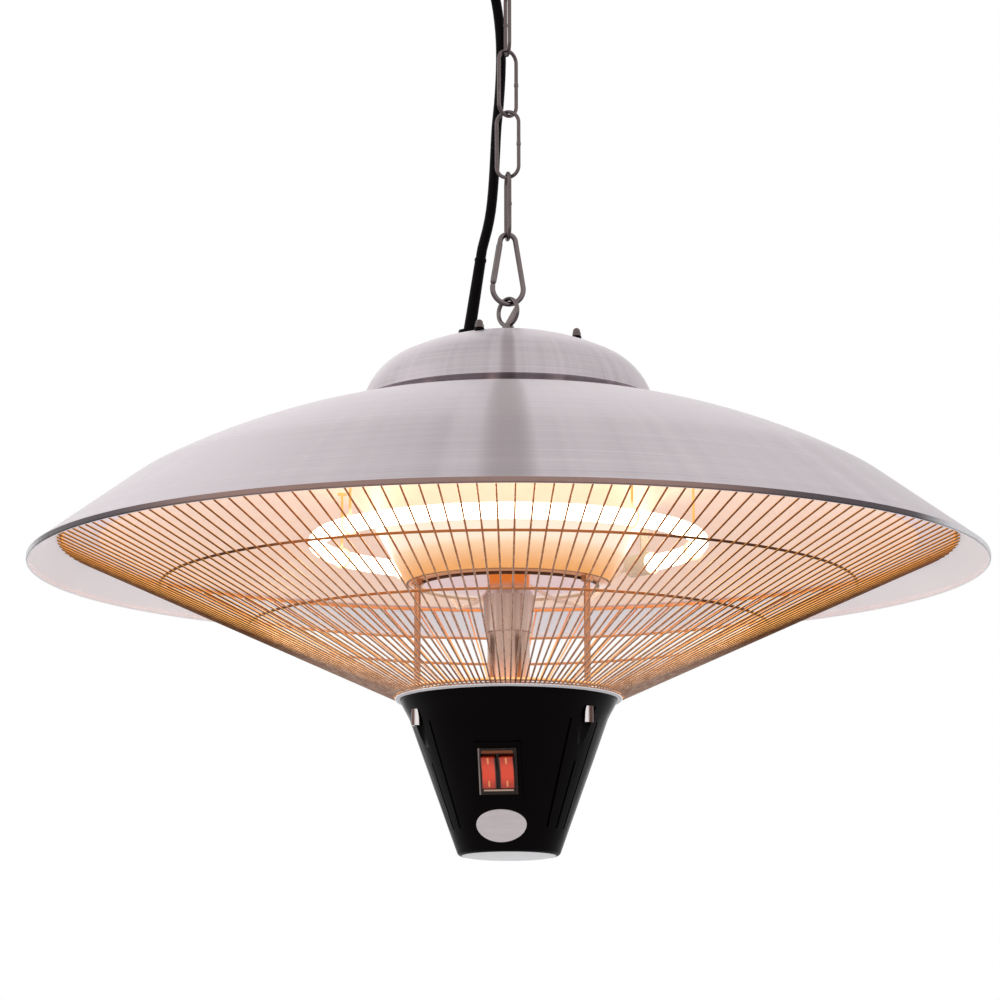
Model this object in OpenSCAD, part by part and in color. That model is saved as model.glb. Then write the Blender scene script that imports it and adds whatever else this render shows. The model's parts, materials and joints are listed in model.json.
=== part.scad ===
// Hanging halogen heater: a round steel shade with a ring lamp behind a wire guard,
// a black control housing below it, and a snap hook, a chain and a ceiling hook above it.
// The origin is where the hook's shank meets the ceiling. The front faces -Y.

/* [Ceiling hook] */
// Wire diameter of the ceiling hook
hook_wire = 6; // [5:0.5:7]
// Inner radius of the hook's bend
hook_r = 10; // [9:0.5:13]
// Drop from the ceiling to the inside of the hook's bend
hook_drop = 48; // [46:1:80]
// Diameter of the collar under the ceiling
collar_d = 24; // [16:1:40]
// Thickness of the collar
collar_t = 3; // [2:0.5:5]
// Length of the screw shank above the ceiling
shank_len = 30; // [15:1:60]

/* [Chain] */
// Wire diameter of a link
link_wire = 2.4; // [2:0.1:2.8]
// Outer width of a link
link_w = 17.2; // [16:0.2:20]
// Inner length of a link, which is the pitch of the chain
link_pitch = 40.4; // [36:0.2:60]
// Clearance between two pieces that hang in each other
hang_gap = 0.2; // [0.1:0.05:0.4]

/* [Snap hook] */
// Wire diameter of the snap hook
snap_wire = 3.4; // [3:0.1:4]
// Inner length of the snap hook
snap_inner = 41.5; // [38:0.5:60]
// Outer width across the wide lower bend
snap_low_w = 23.4; // [22:0.2:28]
// Outer width across the narrow upper bend
snap_top_w = 13.4; // [13:0.2:15]
// Diameter of the gate's hinge pin
gate_pin_d = 1.5; // [1.2:0.1:1.8]

/* [Eye and cap] */
// Wire diameter of the eye
eye_wire = 2.8; // [2.4:0.1:3.4]
// Inner diameter of the eye
eye_inner = 14.2; // [13:0.2:18]
// Height of the neck between the cap and the eye
eye_neck = 4.1; // [3.5:0.1:20]
// Diameter of the eye's threaded stud
stud_d = 6; // [5:0.5:8]
// Diameter of the cap where its side stands upright
cap_d = 185; // [170:1:200]
// Height of the cap
cap_h = 47; // [40:1:54]
// Radius of the cap's crown
cap_crown_r = 158; // [140:1:200]
// Radius of the cap's shoulder
cap_shoulder_r = 43; // [30:1:50]
// Width of the lip turned in under the cap
cap_lip = 3.4; // [2:0.2:6]
// Height of the air gap between the cap and the top of the shade
cap_gap = 5.9; // [4:0.1:12]
// Radius of the circle of cap bolts
bolt_r = 46.5; // [40:0.5:55]
// Diameter of a cap bolt
bolt_d = 4; // [3:0.5:5]

/* [Shade] */
// Diameter of the shade over its skirt
shade_d = 600; // [560:5:680]
// Sheet thickness of the shade and the cap
sheet = 1.2; // [0.8:0.1:2]
// Slope of the outer band of the shade, in degrees
shade_slope = 36; // [32:1:38]
// Width of the outer band in plan
shade_run = 60; // [50:1:70]
// Radius of the bend above the outer band
bend_r = 118; // [80:1:160]
// Radius of the long upper curve
dome_r = 460; // [440:5:500]
// Height of the upright skirt below the rim
skirt_h = 3.6; // [2.4:0.2:6]
// Diameter of the hem rolled into the skirt
hem_d = 2; // [1.6:0.1:3]
// Width of a vent slot under the cap
vent_w = 8; // [5:0.5:12]
// Number of vent slots
vent_n = 12; // [12:12:24]

/* [Reflector and lamp] */
// Gap in plan from the rim of the shade to the edge of the reflector
reflector_inset = 45; // [35:1:60]
// Height of the reflector's edge above the rim plane
reflector_edge = 12; // [8:1:16]
// Height of the trough above the reflector's edge
reflector_rise = 44; // [36:1:54]
// Drop from the rim plane to the reflector's inner flange
foot_drop = 12.5; // [8:0.5:18]
// Radius of the lamp ring
lamp_r = 120; // [105:1:130]
// Diameter of the lamp's quartz tube
lamp_d = 10; // [8:0.5:12]
// Height of the lamp ring above the rim plane
lamp_z = 12.5; // [6:0.5:16]
// Opening of the lamp ring at the rear, in degrees
lamp_open = 86; // [60:1:100]

/* [Guard] */
// Number of radial wires in the guard
wire_n = 150; // [60:1:200]
// Diameter of a radial wire
wire_d = 1.4; // [1.2:0.1:2]
// Wire diameter of the guard's rings
ring_d = 2.2; // [1.8:0.2:4]
// Radius of the upper inner ring
upper_ring_r = 217; // [200:1:230]
// Radius of the lower inner ring
lower_ring_r = 162; // [140:1:180]
// Distance in plan from the rim to the guard's top ring
guard_inset = 20; // [16:1:30]

/* [Column] */
// Outer diameter of the central column
column_d = 26.5; // [24:0.5:30]
// Wall of the column
column_wall = 1.5; // [1:0.1:2.5]
// Diameter of the collar on the column
clamp_d = 32; // [31:1:40]
// Length of the collar
clamp_len = 27; // [12:1:34]
// Drop from the rim plane to the collar's top edge
clamp_drop = 17; // [14:1:30]
// Diameter of a support rod
rod_d = 4; // [3:0.5:5]
// Diameter of a nut on a rod, across its corners
rod_nut_d = 8; // [7:0.5:9]
// Height of a nut on a rod
rod_nut_h = 3.5; // [2.5:0.5:5]
// Wire diameter of the ring round the reflector's hole
stay_ring_d = 2; // [1.6:0.2:3]

/* [Control housing] */
// Drop from the rim plane to the middle of the steel base plate
base_drop = 85.4; // [80:0.2:100]
// Width of the base plate outside the housing
base_over = 3.3; // [2:0.1:6]
// Thickness of the base plate
base_t = 1.5; // [1:0.1:2]
// Height of the housing
housing_h = 97; // [92:1:120]
// Top diameter of the housing
housing_top_d = 135.2; // [126:0.2:146]
// Step in from the housing's top edge to its neck
neck_step = 5.8; // [4.5:0.1:7]
// Distance in plan from the housing's top edge to the middle of a rod
rod_inset = 6.6; // [6:0.1:8]
// Height of the housing's flared collar
collar_h = 11.7; // [10:0.1:14]
// Taper of the housing, in degrees from upright
housing_taper = 19.6; // [18:0.1:20.5]
// Wall of the housing
housing_wall = 2.5; // [2:0.1:3.5]
// Radius of the housing's bottom edge
housing_fillet = 3; // [1:0.1:4]
// Turn from a pocket to the groove on each side of it, in degrees
groove_turn = 13; // [11:1:20]
// Width of a groove
groove_w = 1.6; // [1:0.1:3]
// Depth of a groove
groove_depth = 1.3; // [0.6:0.1:1.6]
// Diameter of a sleeve nut under the housing's top
sleeve_d = 7; // [6.6:0.1:8]
// Length of a sleeve nut
sleeve_len = 10; // [6:0.5:12]

/* [Switch and badge] */
// Width of the switch frame
switch_w = 23.7; // [23:0.1:26]
// Height of the switch frame
switch_h = 28.8; // [28:0.1:32]
// Depth of the switch's middle below the base plate
switch_drop = 50.2; // [48:0.2:56]
// Travel of a rocker, in degrees
rocker_travel = 16; // [10:1:18]
// Width of the oval badge
badge_w = 31; // [20:0.5:34]
// Height of the oval badge
badge_h = 20.5; // [12:0.5:22]
// Thickness of the badge
badge_t = 1; // [0.6:0.1:1.6]

/* [Cord] */
// Diameter of the power cord
cord_d = 6.5; // [6:0.1:7]
// Length of the strain relief
boot_len = 50; // [40:1:60]
// Diameter of the strain relief at its foot
boot_d = 8.6; // [8:0.1:10]
// Diameter of the gland nut
gland_d = 17; // [15:0.5:20]
// Diameter of the plug's round body
plug_d = 36; // [34:0.5:38]
// Thickness of the plug's round body
plug_t = 17; // [14:0.5:20]
// Diameter of a plug pin
pin_d = 4.8; // [4.8:0.1:5]
// Length of a plug pin
pin_len = 19; // [18:0.5:19.5]
// Distance between the plug's pins
pin_pitch = 19; // [18:0.5:20]

/* [Hidden] */
$fn = 48;

steel = "silver";
chrome = "gainsboro";
black = [0.09, 0.09, 0.1];

// Clearance between fixed pieces that face each other
seat = 0.1;
// Radial clearance of a pin that turns in a bore
pin_play = 0.05;

// Chain, from the hook down; each contact is where two pieces bear on each other
link_count = 6;
link_angles = [-73.5, -11.5, 49.5, 107.5, 0, 90];
link_bend = (link_w - link_wire) / 2;
snap_angle = 21.5;
snap_contact = -hook_drop - link_count * link_pitch;
eye_contact = snap_contact - snap_inner;
eye_angle = -38.5;
eye_mid = eye_contact + hang_gap / 2 - eye_inner / 2;
crown_z = eye_mid - eye_inner / 2 - eye_wire - eye_neck;

// Snap hook outline: two bends joined by straight sides
low_r = (snap_low_w - snap_wire) / 2;
top_r = (snap_top_w - snap_wire) / 2;
low_z = eye_contact - hang_gap / 2 - snap_wire / 2 + low_r;
top_z = snap_contact + hang_gap / 2 + snap_wire / 2 - top_r;
side_angle = asin((low_r - top_r) / (top_z - low_z));
side_len = (top_z - low_z) * cos(side_angle);
gate_d = snap_wire + 0.6;
tongue_t = 1.2;
tongue_gap = 0.2;
gate_foot = 2.6;
nose_len = 5.2;
nose_reach = 3;

// Shade: a straight band, a bend, a long curve and a flat top, all tangent
dome_slope = 28;
top_slope = 14;
top_bend = 50;
rim_r = shade_d / 2;
band_end = [rim_r - shade_run, shade_run * tan(shade_slope)];
bend_c = band_end - bend_r * [sin(shade_slope), cos(shade_slope)];
dome_start = bend_c + bend_r * [sin(dome_slope), cos(dome_slope)];
dome_c = dome_start - dome_r * [sin(dome_slope), cos(dome_slope)];
dome_end = dome_c + dome_r * [sin(top_slope), cos(top_slope)];
flat_c = dome_end - top_bend * [sin(top_slope), cos(top_slope)];
shade_h = flat_c[1] + top_bend;
rim_z = crown_z - cap_h - cap_gap - shade_h;

// Cap: a crown and a shoulder that meet at one slope
cap_r = cap_d / 2;
cap_rim = shade_h + cap_gap;
cap_top = cap_rim + cap_h;
crown_c = [0, cap_top - cap_crown_r];
shoulder_x = cap_r - cap_shoulder_r;
shoulder_slope = asin(shoulder_x / (cap_crown_r - cap_shoulder_r));
shoulder_c = [shoulder_x, crown_c[1] + (cap_crown_r - cap_shoulder_r) * cos(shoulder_slope)];
lip_h = 3;
cap_end_slope = acos(min(1, max(-1, (cap_rim + lip_h - shoulder_c[1]) / cap_shoulder_r)));
bolt_angles = [-105, -15, 75, 165];

// Column and rods
column_r = column_d / 2;
column_top = shade_h + 20;
flange_r = column_r + 9;
flange_t = 2;
rod_angles = [-90 - 60, -90 + 60, 90];
rod_r = housing_top_d / 2 - rod_inset;
stay_r = rod_r - (rod_nut_d + stay_ring_d) / 2 - seat;

// Reflector
reflector_r = rim_r - reflector_inset;
reflector_crest = reflector_edge + reflector_rise;
reflector_foot = -foot_drop;
reflector_hole = stay_r - stay_ring_d / 2;
reflector_bend = rod_r + rod_d / 2;
flange_under = reflector_foot - sheet - seat;

// Guard: a cone of wires outside four rings
wire_seat = 0.05;
top_ring = [
  rim_r - guard_inset - (sheet + ring_d / 2 + 0.3) * sin(shade_slope),
  guard_inset * tan(shade_slope) - (sheet + ring_d / 2 + 0.3) * cos(shade_slope)
];
base_top = -base_drop + base_t / 2;
base_bottom = -base_drop - base_t / 2;
base_bead_r = 1.5;
base_r = housing_top_d / 2 + base_over;
bead_c = [base_r - base_bead_r, -base_drop];
bottom_ring = [base_r + 0.1, -base_drop + base_bead_r + ring_d / 2 + 0.2];
guard_slope = atan((top_ring[1] - bottom_ring[1]) / (top_ring[0] - bottom_ring[0]));
guard_normal = [sin(guard_slope), -cos(guard_slope)];
wire_offset = ring_d / 2 + wire_d / 2 + wire_seat;
wire_foot = bottom_ring + wire_offset * guard_normal;
wire_len = norm(top_ring - bottom_ring) + 2;

// Housing
housing_top = base_bottom - seat;
housing_bottom = housing_top - housing_h;
neck_z = housing_top - collar_h;
neck_r = housing_top_d / 2 - neck_step;
fillet_c = [
  neck_r - (neck_z - housing_bottom - housing_fillet) * tan(housing_taper)
    - housing_fillet / cos(housing_taper),
  housing_bottom + housing_fillet
];
lens_r = fillet_c[0] - seat;
lens_t = 2.4;
ledge_t = 2;
ledge_w = 2.6;
pocket_d = sleeve_d + 5.6;
pocket_drop = 8.6;
pocket_len = 34;
pocket_top = housing_top - pocket_drop;
pocket_bottom = pocket_top - pocket_len;
groove_drop = 17;
groove_foot = 15;
groove_top = housing_top - groove_drop;
groove_end = housing_bottom + groove_foot;

// Switch
switch_z = -base_drop - switch_drop;
pad_w = switch_w + 5;
pad_h = switch_h + 7;
pad_t = 0.8;
bezel_t = 1.6;
well_w = 9.6;
well_h = 22;
well_depth = 7.5;
well_pitch = 10.9;
switch_box_t = 18;
rocker_w = well_w - 0.6;
rocker_pivot = -1.6;
axle_d = 2.4;
axle_reach = 0.5;
badge_z = housing_bottom + 15.3;

// Coil: four layers that spiral in and out beside link 5, and a tail over its side
coil_mid = [-59, 0, -81];
coil_turns = 7.25;
coil_layers = 4;
coil_pitch = cord_d + 0.6;
coil_r = 40.1;
layer_turns = coil_turns / coil_layers;
coil_rings = 24;
coil_sides = 6;
tail_run = 31;
tail_r = 26;
tail_rings = 6;
coil_start = coil_mid + [coil_r, (coil_layers - 1) / 2 * coil_pitch, -cord_d];

// Cord: its route from the strain relief to the coil, chosen by hand
boot_tilt = 9;
boot_turn = -6;
boot_tip_d = 7.4;
boot_top = [-18.8, 10.6, -301];
boot_dir = [sin(boot_tilt) * cos(boot_turn), sin(boot_tilt) * sin(boot_turn), cos(boot_tilt)];
gland_xy = [boot_top[0] - boot_len * boot_dir[0], boot_top[1] - boot_len * boot_dir[1]];
gland_stem_d = gland_d - 5;
cord_points = [
  boot_top + 0.3 * boot_dir,
  boot_top + cord_d * boot_dir,
  [-14.6, 11, -282],
  [-12.4, 11.4, -270],
  [-11, 11.6, -256],
  [-10.1, 11.7, -242],
  [-9.4, 11.7, -228],
  [-8.6, 11.6, -214],
  [-7.2, 11.7, -200],
  [-6.3, 11.8, -186],
  [-5.8, 11.9, -172],
  [-6, 12, -158],
  [-7, 12, -145],
  [-8.8, 12, -132],
  [-11.8, 11.7, -119],
  [-15.2, 11.2, -107],
  [-17.8, 10.8, -96],
  coil_start - [0, 0, cord_d],
  coil_start
];
cord_sides = 10;

// Plug and tie
plug_boot = 20;
plug_mid = [
  coil_mid[0] - tail_run - tail_r,
  -(coil_layers - 1) / 2 * coil_pitch,
  coil_mid[2] + coil_r - tail_r - cord_d - plug_boot - plug_d / 2 + 1
];
tie_w = 6;
tie_t = 1.2;
tie_z = coil_mid[2] - 15;

// Points of an arc, by the slope of the surface at each one
function slope_arc(c, r, from, to, n) =
  [for (i = [0 : n]) let (a = from + (to - from) * i / n) c + r * [sin(a), cos(a)]];
function backwards(list) = [for (i = [len(list) - 1 : -1 : 0]) list[i]];
function unit(v) = v / norm(v);
function smooth(t) = t * t * (3 - 2 * t);

// Centre lines of the spun sheets, offset inward by t
function shade_line(t) = concat(
  [[rim_r - t / sin(shade_slope), 0]],
  slope_arc(bend_c, bend_r - t, shade_slope, dome_slope, 4),
  slope_arc(dome_c, dome_r - t, dome_slope, top_slope, 10),
  slope_arc(flat_c, top_bend - t, top_slope, 0, 3)
);
function cap_line(t) = concat(
  [[0, cap_top - t]],
  slope_arc(crown_c, cap_crown_r - t, 2, shoulder_slope, 6),
  slope_arc(shoulder_c, cap_shoulder_r - t, shoulder_slope + 6, cap_end_slope, 8)
);
function reflector_height(r) = r < lamp_r
  ? reflector_foot + (reflector_crest - reflector_foot)
    * sin(90 * max(0, r - reflector_bend) / (lamp_r - reflector_bend))
  : reflector_edge + reflector_rise * cos(90 * (r - lamp_r) / (reflector_r - lamp_r));
function reflector_point(r, t) = let (
  lean = atan(reflector_height(r + 0.5) - reflector_height(r - 0.5))
) [r + t * sin(lean), reflector_height(r) - t * cos(lean)];
function reflector_line(t) = concat(
  [[reflector_hole, reflector_foot - t]],
  [for (i = [0 : 10]) reflector_point(reflector_bend + (lamp_r - reflector_bend) * i / 10, t)],
  [for (i = [1 : 14]) reflector_point(lamp_r + (reflector_r - lamp_r) * i / 14, t)]
);
function housing_r(z) = z > neck_z
  ? neck_r + (z - neck_z) / collar_h * (housing_top_d / 2 - neck_r)
  : neck_r - (neck_z - z) * tan(housing_taper);

// Path of the coil: turns counted from its start, then the tail
function layer_of(u) = min(coil_layers - 1, floor(u / layer_turns));
function coil_radius(u) = let (k = layer_of(u), part = u - k * layer_turns)
  k % 2 == 0
    ? coil_r - coil_pitch * part
    : coil_r - coil_pitch * (layer_turns - part);
function climbed(u) = [
  for (k = [1 : coil_layers - 1])
    smooth(min(1, max(0, (u - k * layer_turns) / 0.5 + 0.5)))
];
function sum(list, i = 0) = i < len(list) ? list[i] + sum(list, i + 1) : 0;
function coil_point(u) = coil_mid + [
  coil_radius(u) * cos(360 * u),
  coil_pitch * ((coil_layers - 1) / 2 - sum(climbed(u))),
  coil_radius(u) * sin(360 * u)
];
coil_loops = [for (i = [0 : coil_turns * coil_rings]) coil_point(i / coil_rings)];
tail_start = coil_point(coil_turns);
coil_tail = concat(
  [for (i = [0 : tail_rings])
    tail_start + [-tail_run, 0, 0]
      + tail_r * [-sin(90 * i / tail_rings), 0, cos(90 * i / tail_rings) - 1]],
  [tail_start + [-tail_run - tail_r, 0, -tail_r - cord_d]]
);
coil_path = concat([coil_start], coil_loops, coil_tail);

// Least gap between two turns of the coil, over points at least half a turn apart
function coil_gap() = min([
  for (i = [0 : len(coil_path) - 1], j = [i + coil_rings / 2 : len(coil_path) - 1])
    norm(coil_path[i] - coil_path[j])
]) - cord_d;
function path_length(p) = sum([for (i = [1 : len(p) - 1]) norm(p[i] - p[i - 1])]);
echo(coil_least_gap = coil_gap());
echo(cord_length = path_length(cord_points) + path_length(coil_path));

module at_rim() {
  translate([0, 0, rim_z]) children();
}

// A tube swept along points; its rings stay turned towards Y
module tube(points, d, sides) {
  n = len(points);
  corners = [
    for (i = [0 : n - 1], k = [0 : sides - 1])
      let (
        t = unit(points[min(n - 1, i + 1)] - points[max(0, i - 1)]),
        u = unit([0, 1, 0] - t[1] * t),
        v = cross(t, u),
        a = 360 * k / sides
      )
      points[i] + d / 2 * (cos(a) * u + sin(a) * v)
  ];
  walls = [
    for (i = [0 : n - 2], k = [0 : sides - 1])
      let (a = i * sides + k, b = i * sides + (k + 1) % sides)
      each [[a, b + sides, b], [a, a + sides, b + sides]]
  ];
  foot = [for (k = [1 : sides - 2]) [0, k, k + 1]];
  head = [for (k = [1 : sides - 2]) (n - 1) * sides * [1, 1, 1] + [0, k + 1, k]];
  polyhedron(points = corners, faces = concat(walls, foot, head));
}

// Round bar between two points
module bar(a, b, d) {
  v = b - a;
  translate(a)
    rotate([0, acos(v[2] / norm(v)), atan2(v[1], v[0])])
      cylinder(d = d, h = norm(v));
}

// Round bar bent through points, with ball corners
module bent_bar(points, d) {
  for (i = [1 : len(points) - 1]) bar(points[i - 1], points[i], d);
  for (i = [1 : len(points) - 2]) translate(points[i]) sphere(d = d + 0.1);
}

// Half of a ring in the XZ plane, above or below the centre
module half_ring(r, d, up = 1) {
  rotate([90 * up, 0, 0])
    rotate_extrude(angle = 180) translate([r, 0]) circle(d = d);
}

module ring(r, z, d) {
  translate([0, 0, z]) rotate_extrude() translate([r, 0]) circle(d = d);
}

// A chain link hung by its top contact, with the weld on one side
module link(i) {
  inner = link_pitch + hang_gap;
  leg = inner + link_wire - 2 * link_bend;
  top = -hook_drop - (link_count - i) * link_pitch;
  color(chrome)
  translate([0, 0, top - link_pitch / 2])
    rotate([0, 0, link_angles[i - 1]]) {
      translate([0, 0, leg / 2]) half_ring(link_bend, link_wire, 1);
      translate([0, 0, -leg / 2]) half_ring(link_bend, link_wire, -1);
      for (s = [-1, 1])
        translate([s * link_bend, 0, -leg / 2]) cylinder(d = link_wire, h = leg);
      translate([link_bend, 0, -1]) cylinder(d = link_wire + 0.5, h = 2);
    }
}

module chain_link_1() { link(1); }
module chain_link_2() { link(2); }
module chain_link_3() { link(3); }
module chain_link_4() { link(4); }
module chain_link_5() { link(5); }
module chain_link_6() { link(6); }

// Screw hook: shank, collar, and a bend that is open at the upper right
module ceiling_hook() {
  bend = hook_r + hook_wire / 2;
  mid = -hook_drop - hang_gap / 2 + hook_r;
  color(steel) {
    cylinder(d = hook_wire, h = shank_len);
    translate([0, 0, shank_len]) cylinder(d1 = hook_wire, d2 = 2, h = 4);
    translate([0, 0, -collar_t]) cylinder(d = collar_d, h = collar_t);
    translate([0, 0, mid + bend]) cylinder(d = hook_wire, h = -mid - bend);
    translate([0, 0, mid])
      rotate([90, 0, 0])
        rotate([0, 0, 90])
          rotate_extrude(angle = 290) translate([bend, 0]) circle(d = hook_wire);
    translate([bend * cos(20), 0, mid + bend * sin(20)]) sphere(d = hook_wire);
  }
}

// The straight left side of the snap hook, as a frame that points up along it
module gate_side() {
  translate([-low_r * cos(side_angle), 0, low_z + low_r * sin(side_angle)])
    rotate([0, side_angle, 0])
      children();
}

module in_snap_plane() {
  rotate([0, 0, snap_angle]) children();
}

// Bent wire body: lower bend, right side, upper bend and nose, with two flat tongues
module snap_hook_body() {
  color(chrome)
  in_snap_plane()
    difference() {
      union() {
        translate([0, 0, low_z])
          rotate([-90, 0, 0])
            rotate([0, 0, -side_angle])
              rotate_extrude(angle = 180 + 2 * side_angle)
                translate([low_r, 0]) circle(d = snap_wire);
        translate([low_r * cos(side_angle), 0, low_z + low_r * sin(side_angle)])
          rotate([0, -side_angle, 0]) {
            cylinder(d = snap_wire, h = side_len);
            for (z = [0, side_len]) translate([0, 0, z]) sphere(d = snap_wire + 0.06);
          }
        translate([0, 0, top_z])
          rotate([90, 0, 0])
            rotate([0, 0, side_angle])
              rotate_extrude(angle = 180 - 2 * side_angle)
                translate([top_r, 0]) circle(d = snap_wire);
        gate_side() {
          translate([-1.4, -tongue_t / 2, -0.4]) cube([2.8, tongue_t, gate_foot + 1.6]);
          translate([-1.3, -tongue_t / 2, side_len - nose_len])
            cube([2.6, tongue_t, nose_len + 0.4]);
          translate([0, 0, side_len - nose_len + nose_reach])
            cylinder(d = snap_wire, h = nose_len - nose_reach);
        }
      }
      gate_side()
        translate([0, 0, gate_foot]) rotate([90, 0, 0])
          cylinder(d = gate_pin_d, h = 12, center = true);
    }
}

// Round gate with a slot at each end, turning on its pin
module snap_hook_gate() {
  slot = tongue_t + 2 * tongue_gap;
  head = side_len - nose_len + nose_reach - 0.3;
  color(chrome)
  in_snap_plane()
    gate_side()
      difference() {
        union() {
          translate([0, 0, gate_foot]) cylinder(d = gate_d, h = head - gate_foot);
          translate([0, 0, gate_foot]) sphere(d = gate_d);
        }
        translate([-gate_d, -slot / 2, -1]) cube([2 * gate_d, slot, gate_foot + 3.2]);
        translate([-gate_d, -slot / 2, head - nose_reach - 0.4])
          cube([2 * gate_d, slot, nose_reach + 1]);
        translate([0, 0, gate_foot]) rotate([90, 0, 0])
          cylinder(d = gate_pin_d + 2 * pin_play, h = 12, center = true);
      }
}

module gate_pin() {
  color(steel)
  in_snap_plane()
    gate_side()
      translate([0, 0, gate_foot]) rotate([90, 0, 0])
        cylinder(d = gate_pin_d, h = gate_d + 0.4, center = true);
}

// Eye with a web across one corner, a tapered neck, a flange and a stud
module eye_bolt() {
  eye_r = (eye_inner + eye_wire) / 2;
  web_t = 2.2;
  flange_h = 1.6;
  stud_len = 9;
  color(chrome) {
    translate([0, 0, eye_mid])
      rotate([0, 0, eye_angle])
        rotate([90, 0, 0]) {
          rotate_extrude() translate([eye_r, 0]) circle(d = eye_wire);
          translate([0, 0, -web_t / 2])
            linear_extrude(web_t)
              intersection() {
                circle(r = eye_r);
                polygon([[8, 3.2], [-2.4, -8.2], [-2.4, -12], [12, -12], [12, 3.2]]);
              }
        }
    translate([0, 0, crown_z + flange_h])
      cylinder(d1 = 10, d2 = 6.5, h = eye_neck - flange_h + eye_wire / 2);
    translate([0, 0, crown_z]) cylinder(d = 14, h = flange_h);
    translate([0, 0, crown_z - sheet - stud_len])
      cylinder(d = stud_d, h = sheet + stud_len + flange_h);
  }
}

// Washer that fits under the crown, and its nut
module eye_nut() {
  nut_h = 5;
  washer_h = 1.8;
  color(steel)
  at_rim()
    difference() {
      union() {
        intersection() {
          translate([0, 0, cap_top - sheet - washer_h]) cylinder(d = 16, h = washer_h);
          cap_solid(sheet + seat);
        }
        translate([0, 0, cap_top - sheet - washer_h - nut_h])
          cylinder(d = 11.5, h = nut_h, $fn = 6);
      }
      translate([0, 0, cap_top - 12]) cylinder(d = stud_d + 0.1, h = 12);
    }
}

module cap_sheet() {
  rotate_extrude()
    polygon(concat(
      cap_line(0),
      [[cap_line(0)[15][0] - cap_lip, cap_rim], [cap_line(0)[15][0] - cap_lip - sheet, cap_rim]],
      backwards(cap_line(sheet))
    ));
}

// Space under the outside of the cap, down to its rim
module cap_solid(t) {
  rotate_extrude() polygon(concat(cap_line(t), [[0, cap_line(t)[15][1]]]));
}

module at_bolts() {
  for (a = bolt_angles)
    rotate([0, 0, a]) translate([bolt_r, 0, 0]) children();
}

module cap_dome() {
  color(steel)
  at_rim()
    difference() {
      cap_sheet();
      at_bolts() translate([0, 0, cap_rim]) cylinder(d = bolt_d + 0.6, h = cap_h);
      translate([0, 0, cap_rim]) cylinder(d = stud_d + 0.4, h = cap_h + 1);
      translate([gland_xy[0], gland_xy[1], cap_rim])
        cylinder(d = gland_stem_d + 0.4, h = cap_h);
    }
}

// Tubes that hold the cap off the shade
module cap_spacers() {
  color(steel)
  at_rim()
    at_bolts()
      difference() {
        intersection() {
          translate([0, 0, shade_h + seat]) cylinder(d = 9, h = cap_h + cap_gap);
          translate([-bolt_r, 0, 0]) cap_solid(sheet + seat);
        }
        translate([0, 0, shade_h - 1]) cylinder(d = bolt_d + 0.6, h = cap_h + cap_gap + 2);
      }
}

bolt_seat = crown_c[1] + sqrt(pow(cap_crown_r, 2) - pow(bolt_r, 2));

module cap_bolts() {
  color(steel)
  at_rim()
    at_bolts() {
      translate([0, 0, shade_h - sheet - 4])
        cylinder(d = bolt_d, h = bolt_seat - shade_h + sheet + 10);
      translate([0, 0, shade_h - sheet - seat - 3]) cylinder(d = 9, h = 3);
    }
}

// Soft washers that fit the slope of the cap
module cap_washers() {
  color(black)
  at_rim()
    at_bolts()
      difference() {
        translate([0, 0, bolt_seat - 3]) cylinder(d = 12, h = 5);
        translate([-bolt_r, 0, 0]) cap_solid(-seat);
        translate([0, 0, bolt_seat - 8]) cylinder(d = bolt_d + 0.2, h = 16);
      }
}

// Dome nuts
module cap_nuts() {
  hex_h = 3;
  color(chrome)
  at_rim()
    at_bolts()
      translate([0, 0, bolt_seat + 2 + seat])
        difference() {
          union() {
            cylinder(d = 8.6, h = hex_h, $fn = 6);
            translate([0, 0, hex_h]) cylinder(d = 7, h = 1.4);
            translate([0, 0, hex_h + 1.4]) sphere(d = 7);
          }
          translate([0, 0, -1]) cylinder(d = bolt_d + 0.1, h = 5.4);
        }
}

module vent_slot() {
  inner = flange_r + vent_w / 2 + 2;
  outer = cap_r - vent_w / 2 - 6;
  translate([inner, -vent_w / 2]) square([outer - inner, vent_w]);
  translate([inner, 0]) circle(d = vent_w);
  translate([outer, 0]) circle(d = vent_w);
}

// Spun shade with a hemmed skirt, a flat top, vent slots and bolt holes
module shade() {
  color(steel)
  at_rim()
    difference() {
      rotate_extrude() {
        polygon(concat(
          shade_line(0),
          [[column_r + 0.3, shade_h], [column_r + 0.3, shade_h - sheet]],
          backwards(shade_line(sheet)),
          [
            [rim_r - sheet, -sheet * (1 - sin(shade_slope)) / cos(shade_slope)],
            [rim_r - sheet, -skirt_h + hem_d / 2], [rim_r, -skirt_h + hem_d / 2]
          ]
        ));
        translate([rim_r - hem_d / 2, -skirt_h + hem_d / 2]) circle(d = hem_d);
      }
      translate([0, 0, shade_h - 5])
        linear_extrude(10)
          for (i = [0 : vent_n - 1])
            rotate([0, 0, i * 360 / vent_n]) vent_slot();
      at_bolts() translate([0, 0, shade_h - 5]) cylinder(d = bolt_d + 0.4, h = 10);
    }
}

// Bright trough over the lamp, with a flat flange round its hole
module reflector() {
  color("gold")
  at_rim()
    rotate_extrude()
      polygon(concat(reflector_line(0), backwards(reflector_line(sheet))));
}

// Ring of quartz tube, open at the rear
module lamp_arc(d) {
  translate([0, 0, lamp_z])
    rotate([0, 0, 90 + lamp_open / 2])
      rotate_extrude(angle = 360 - lamp_open) translate([lamp_r, 0]) circle(d = d);
}

module lamp_tube() {
  color("orange", 0.6)
  at_rim()
    difference() {
      lamp_arc(lamp_d);
      lamp_arc(lamp_d - 2.4);
    }
}

module lamp_filament() {
  color("orangered")
  at_rim() lamp_arc(2);
}

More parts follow.
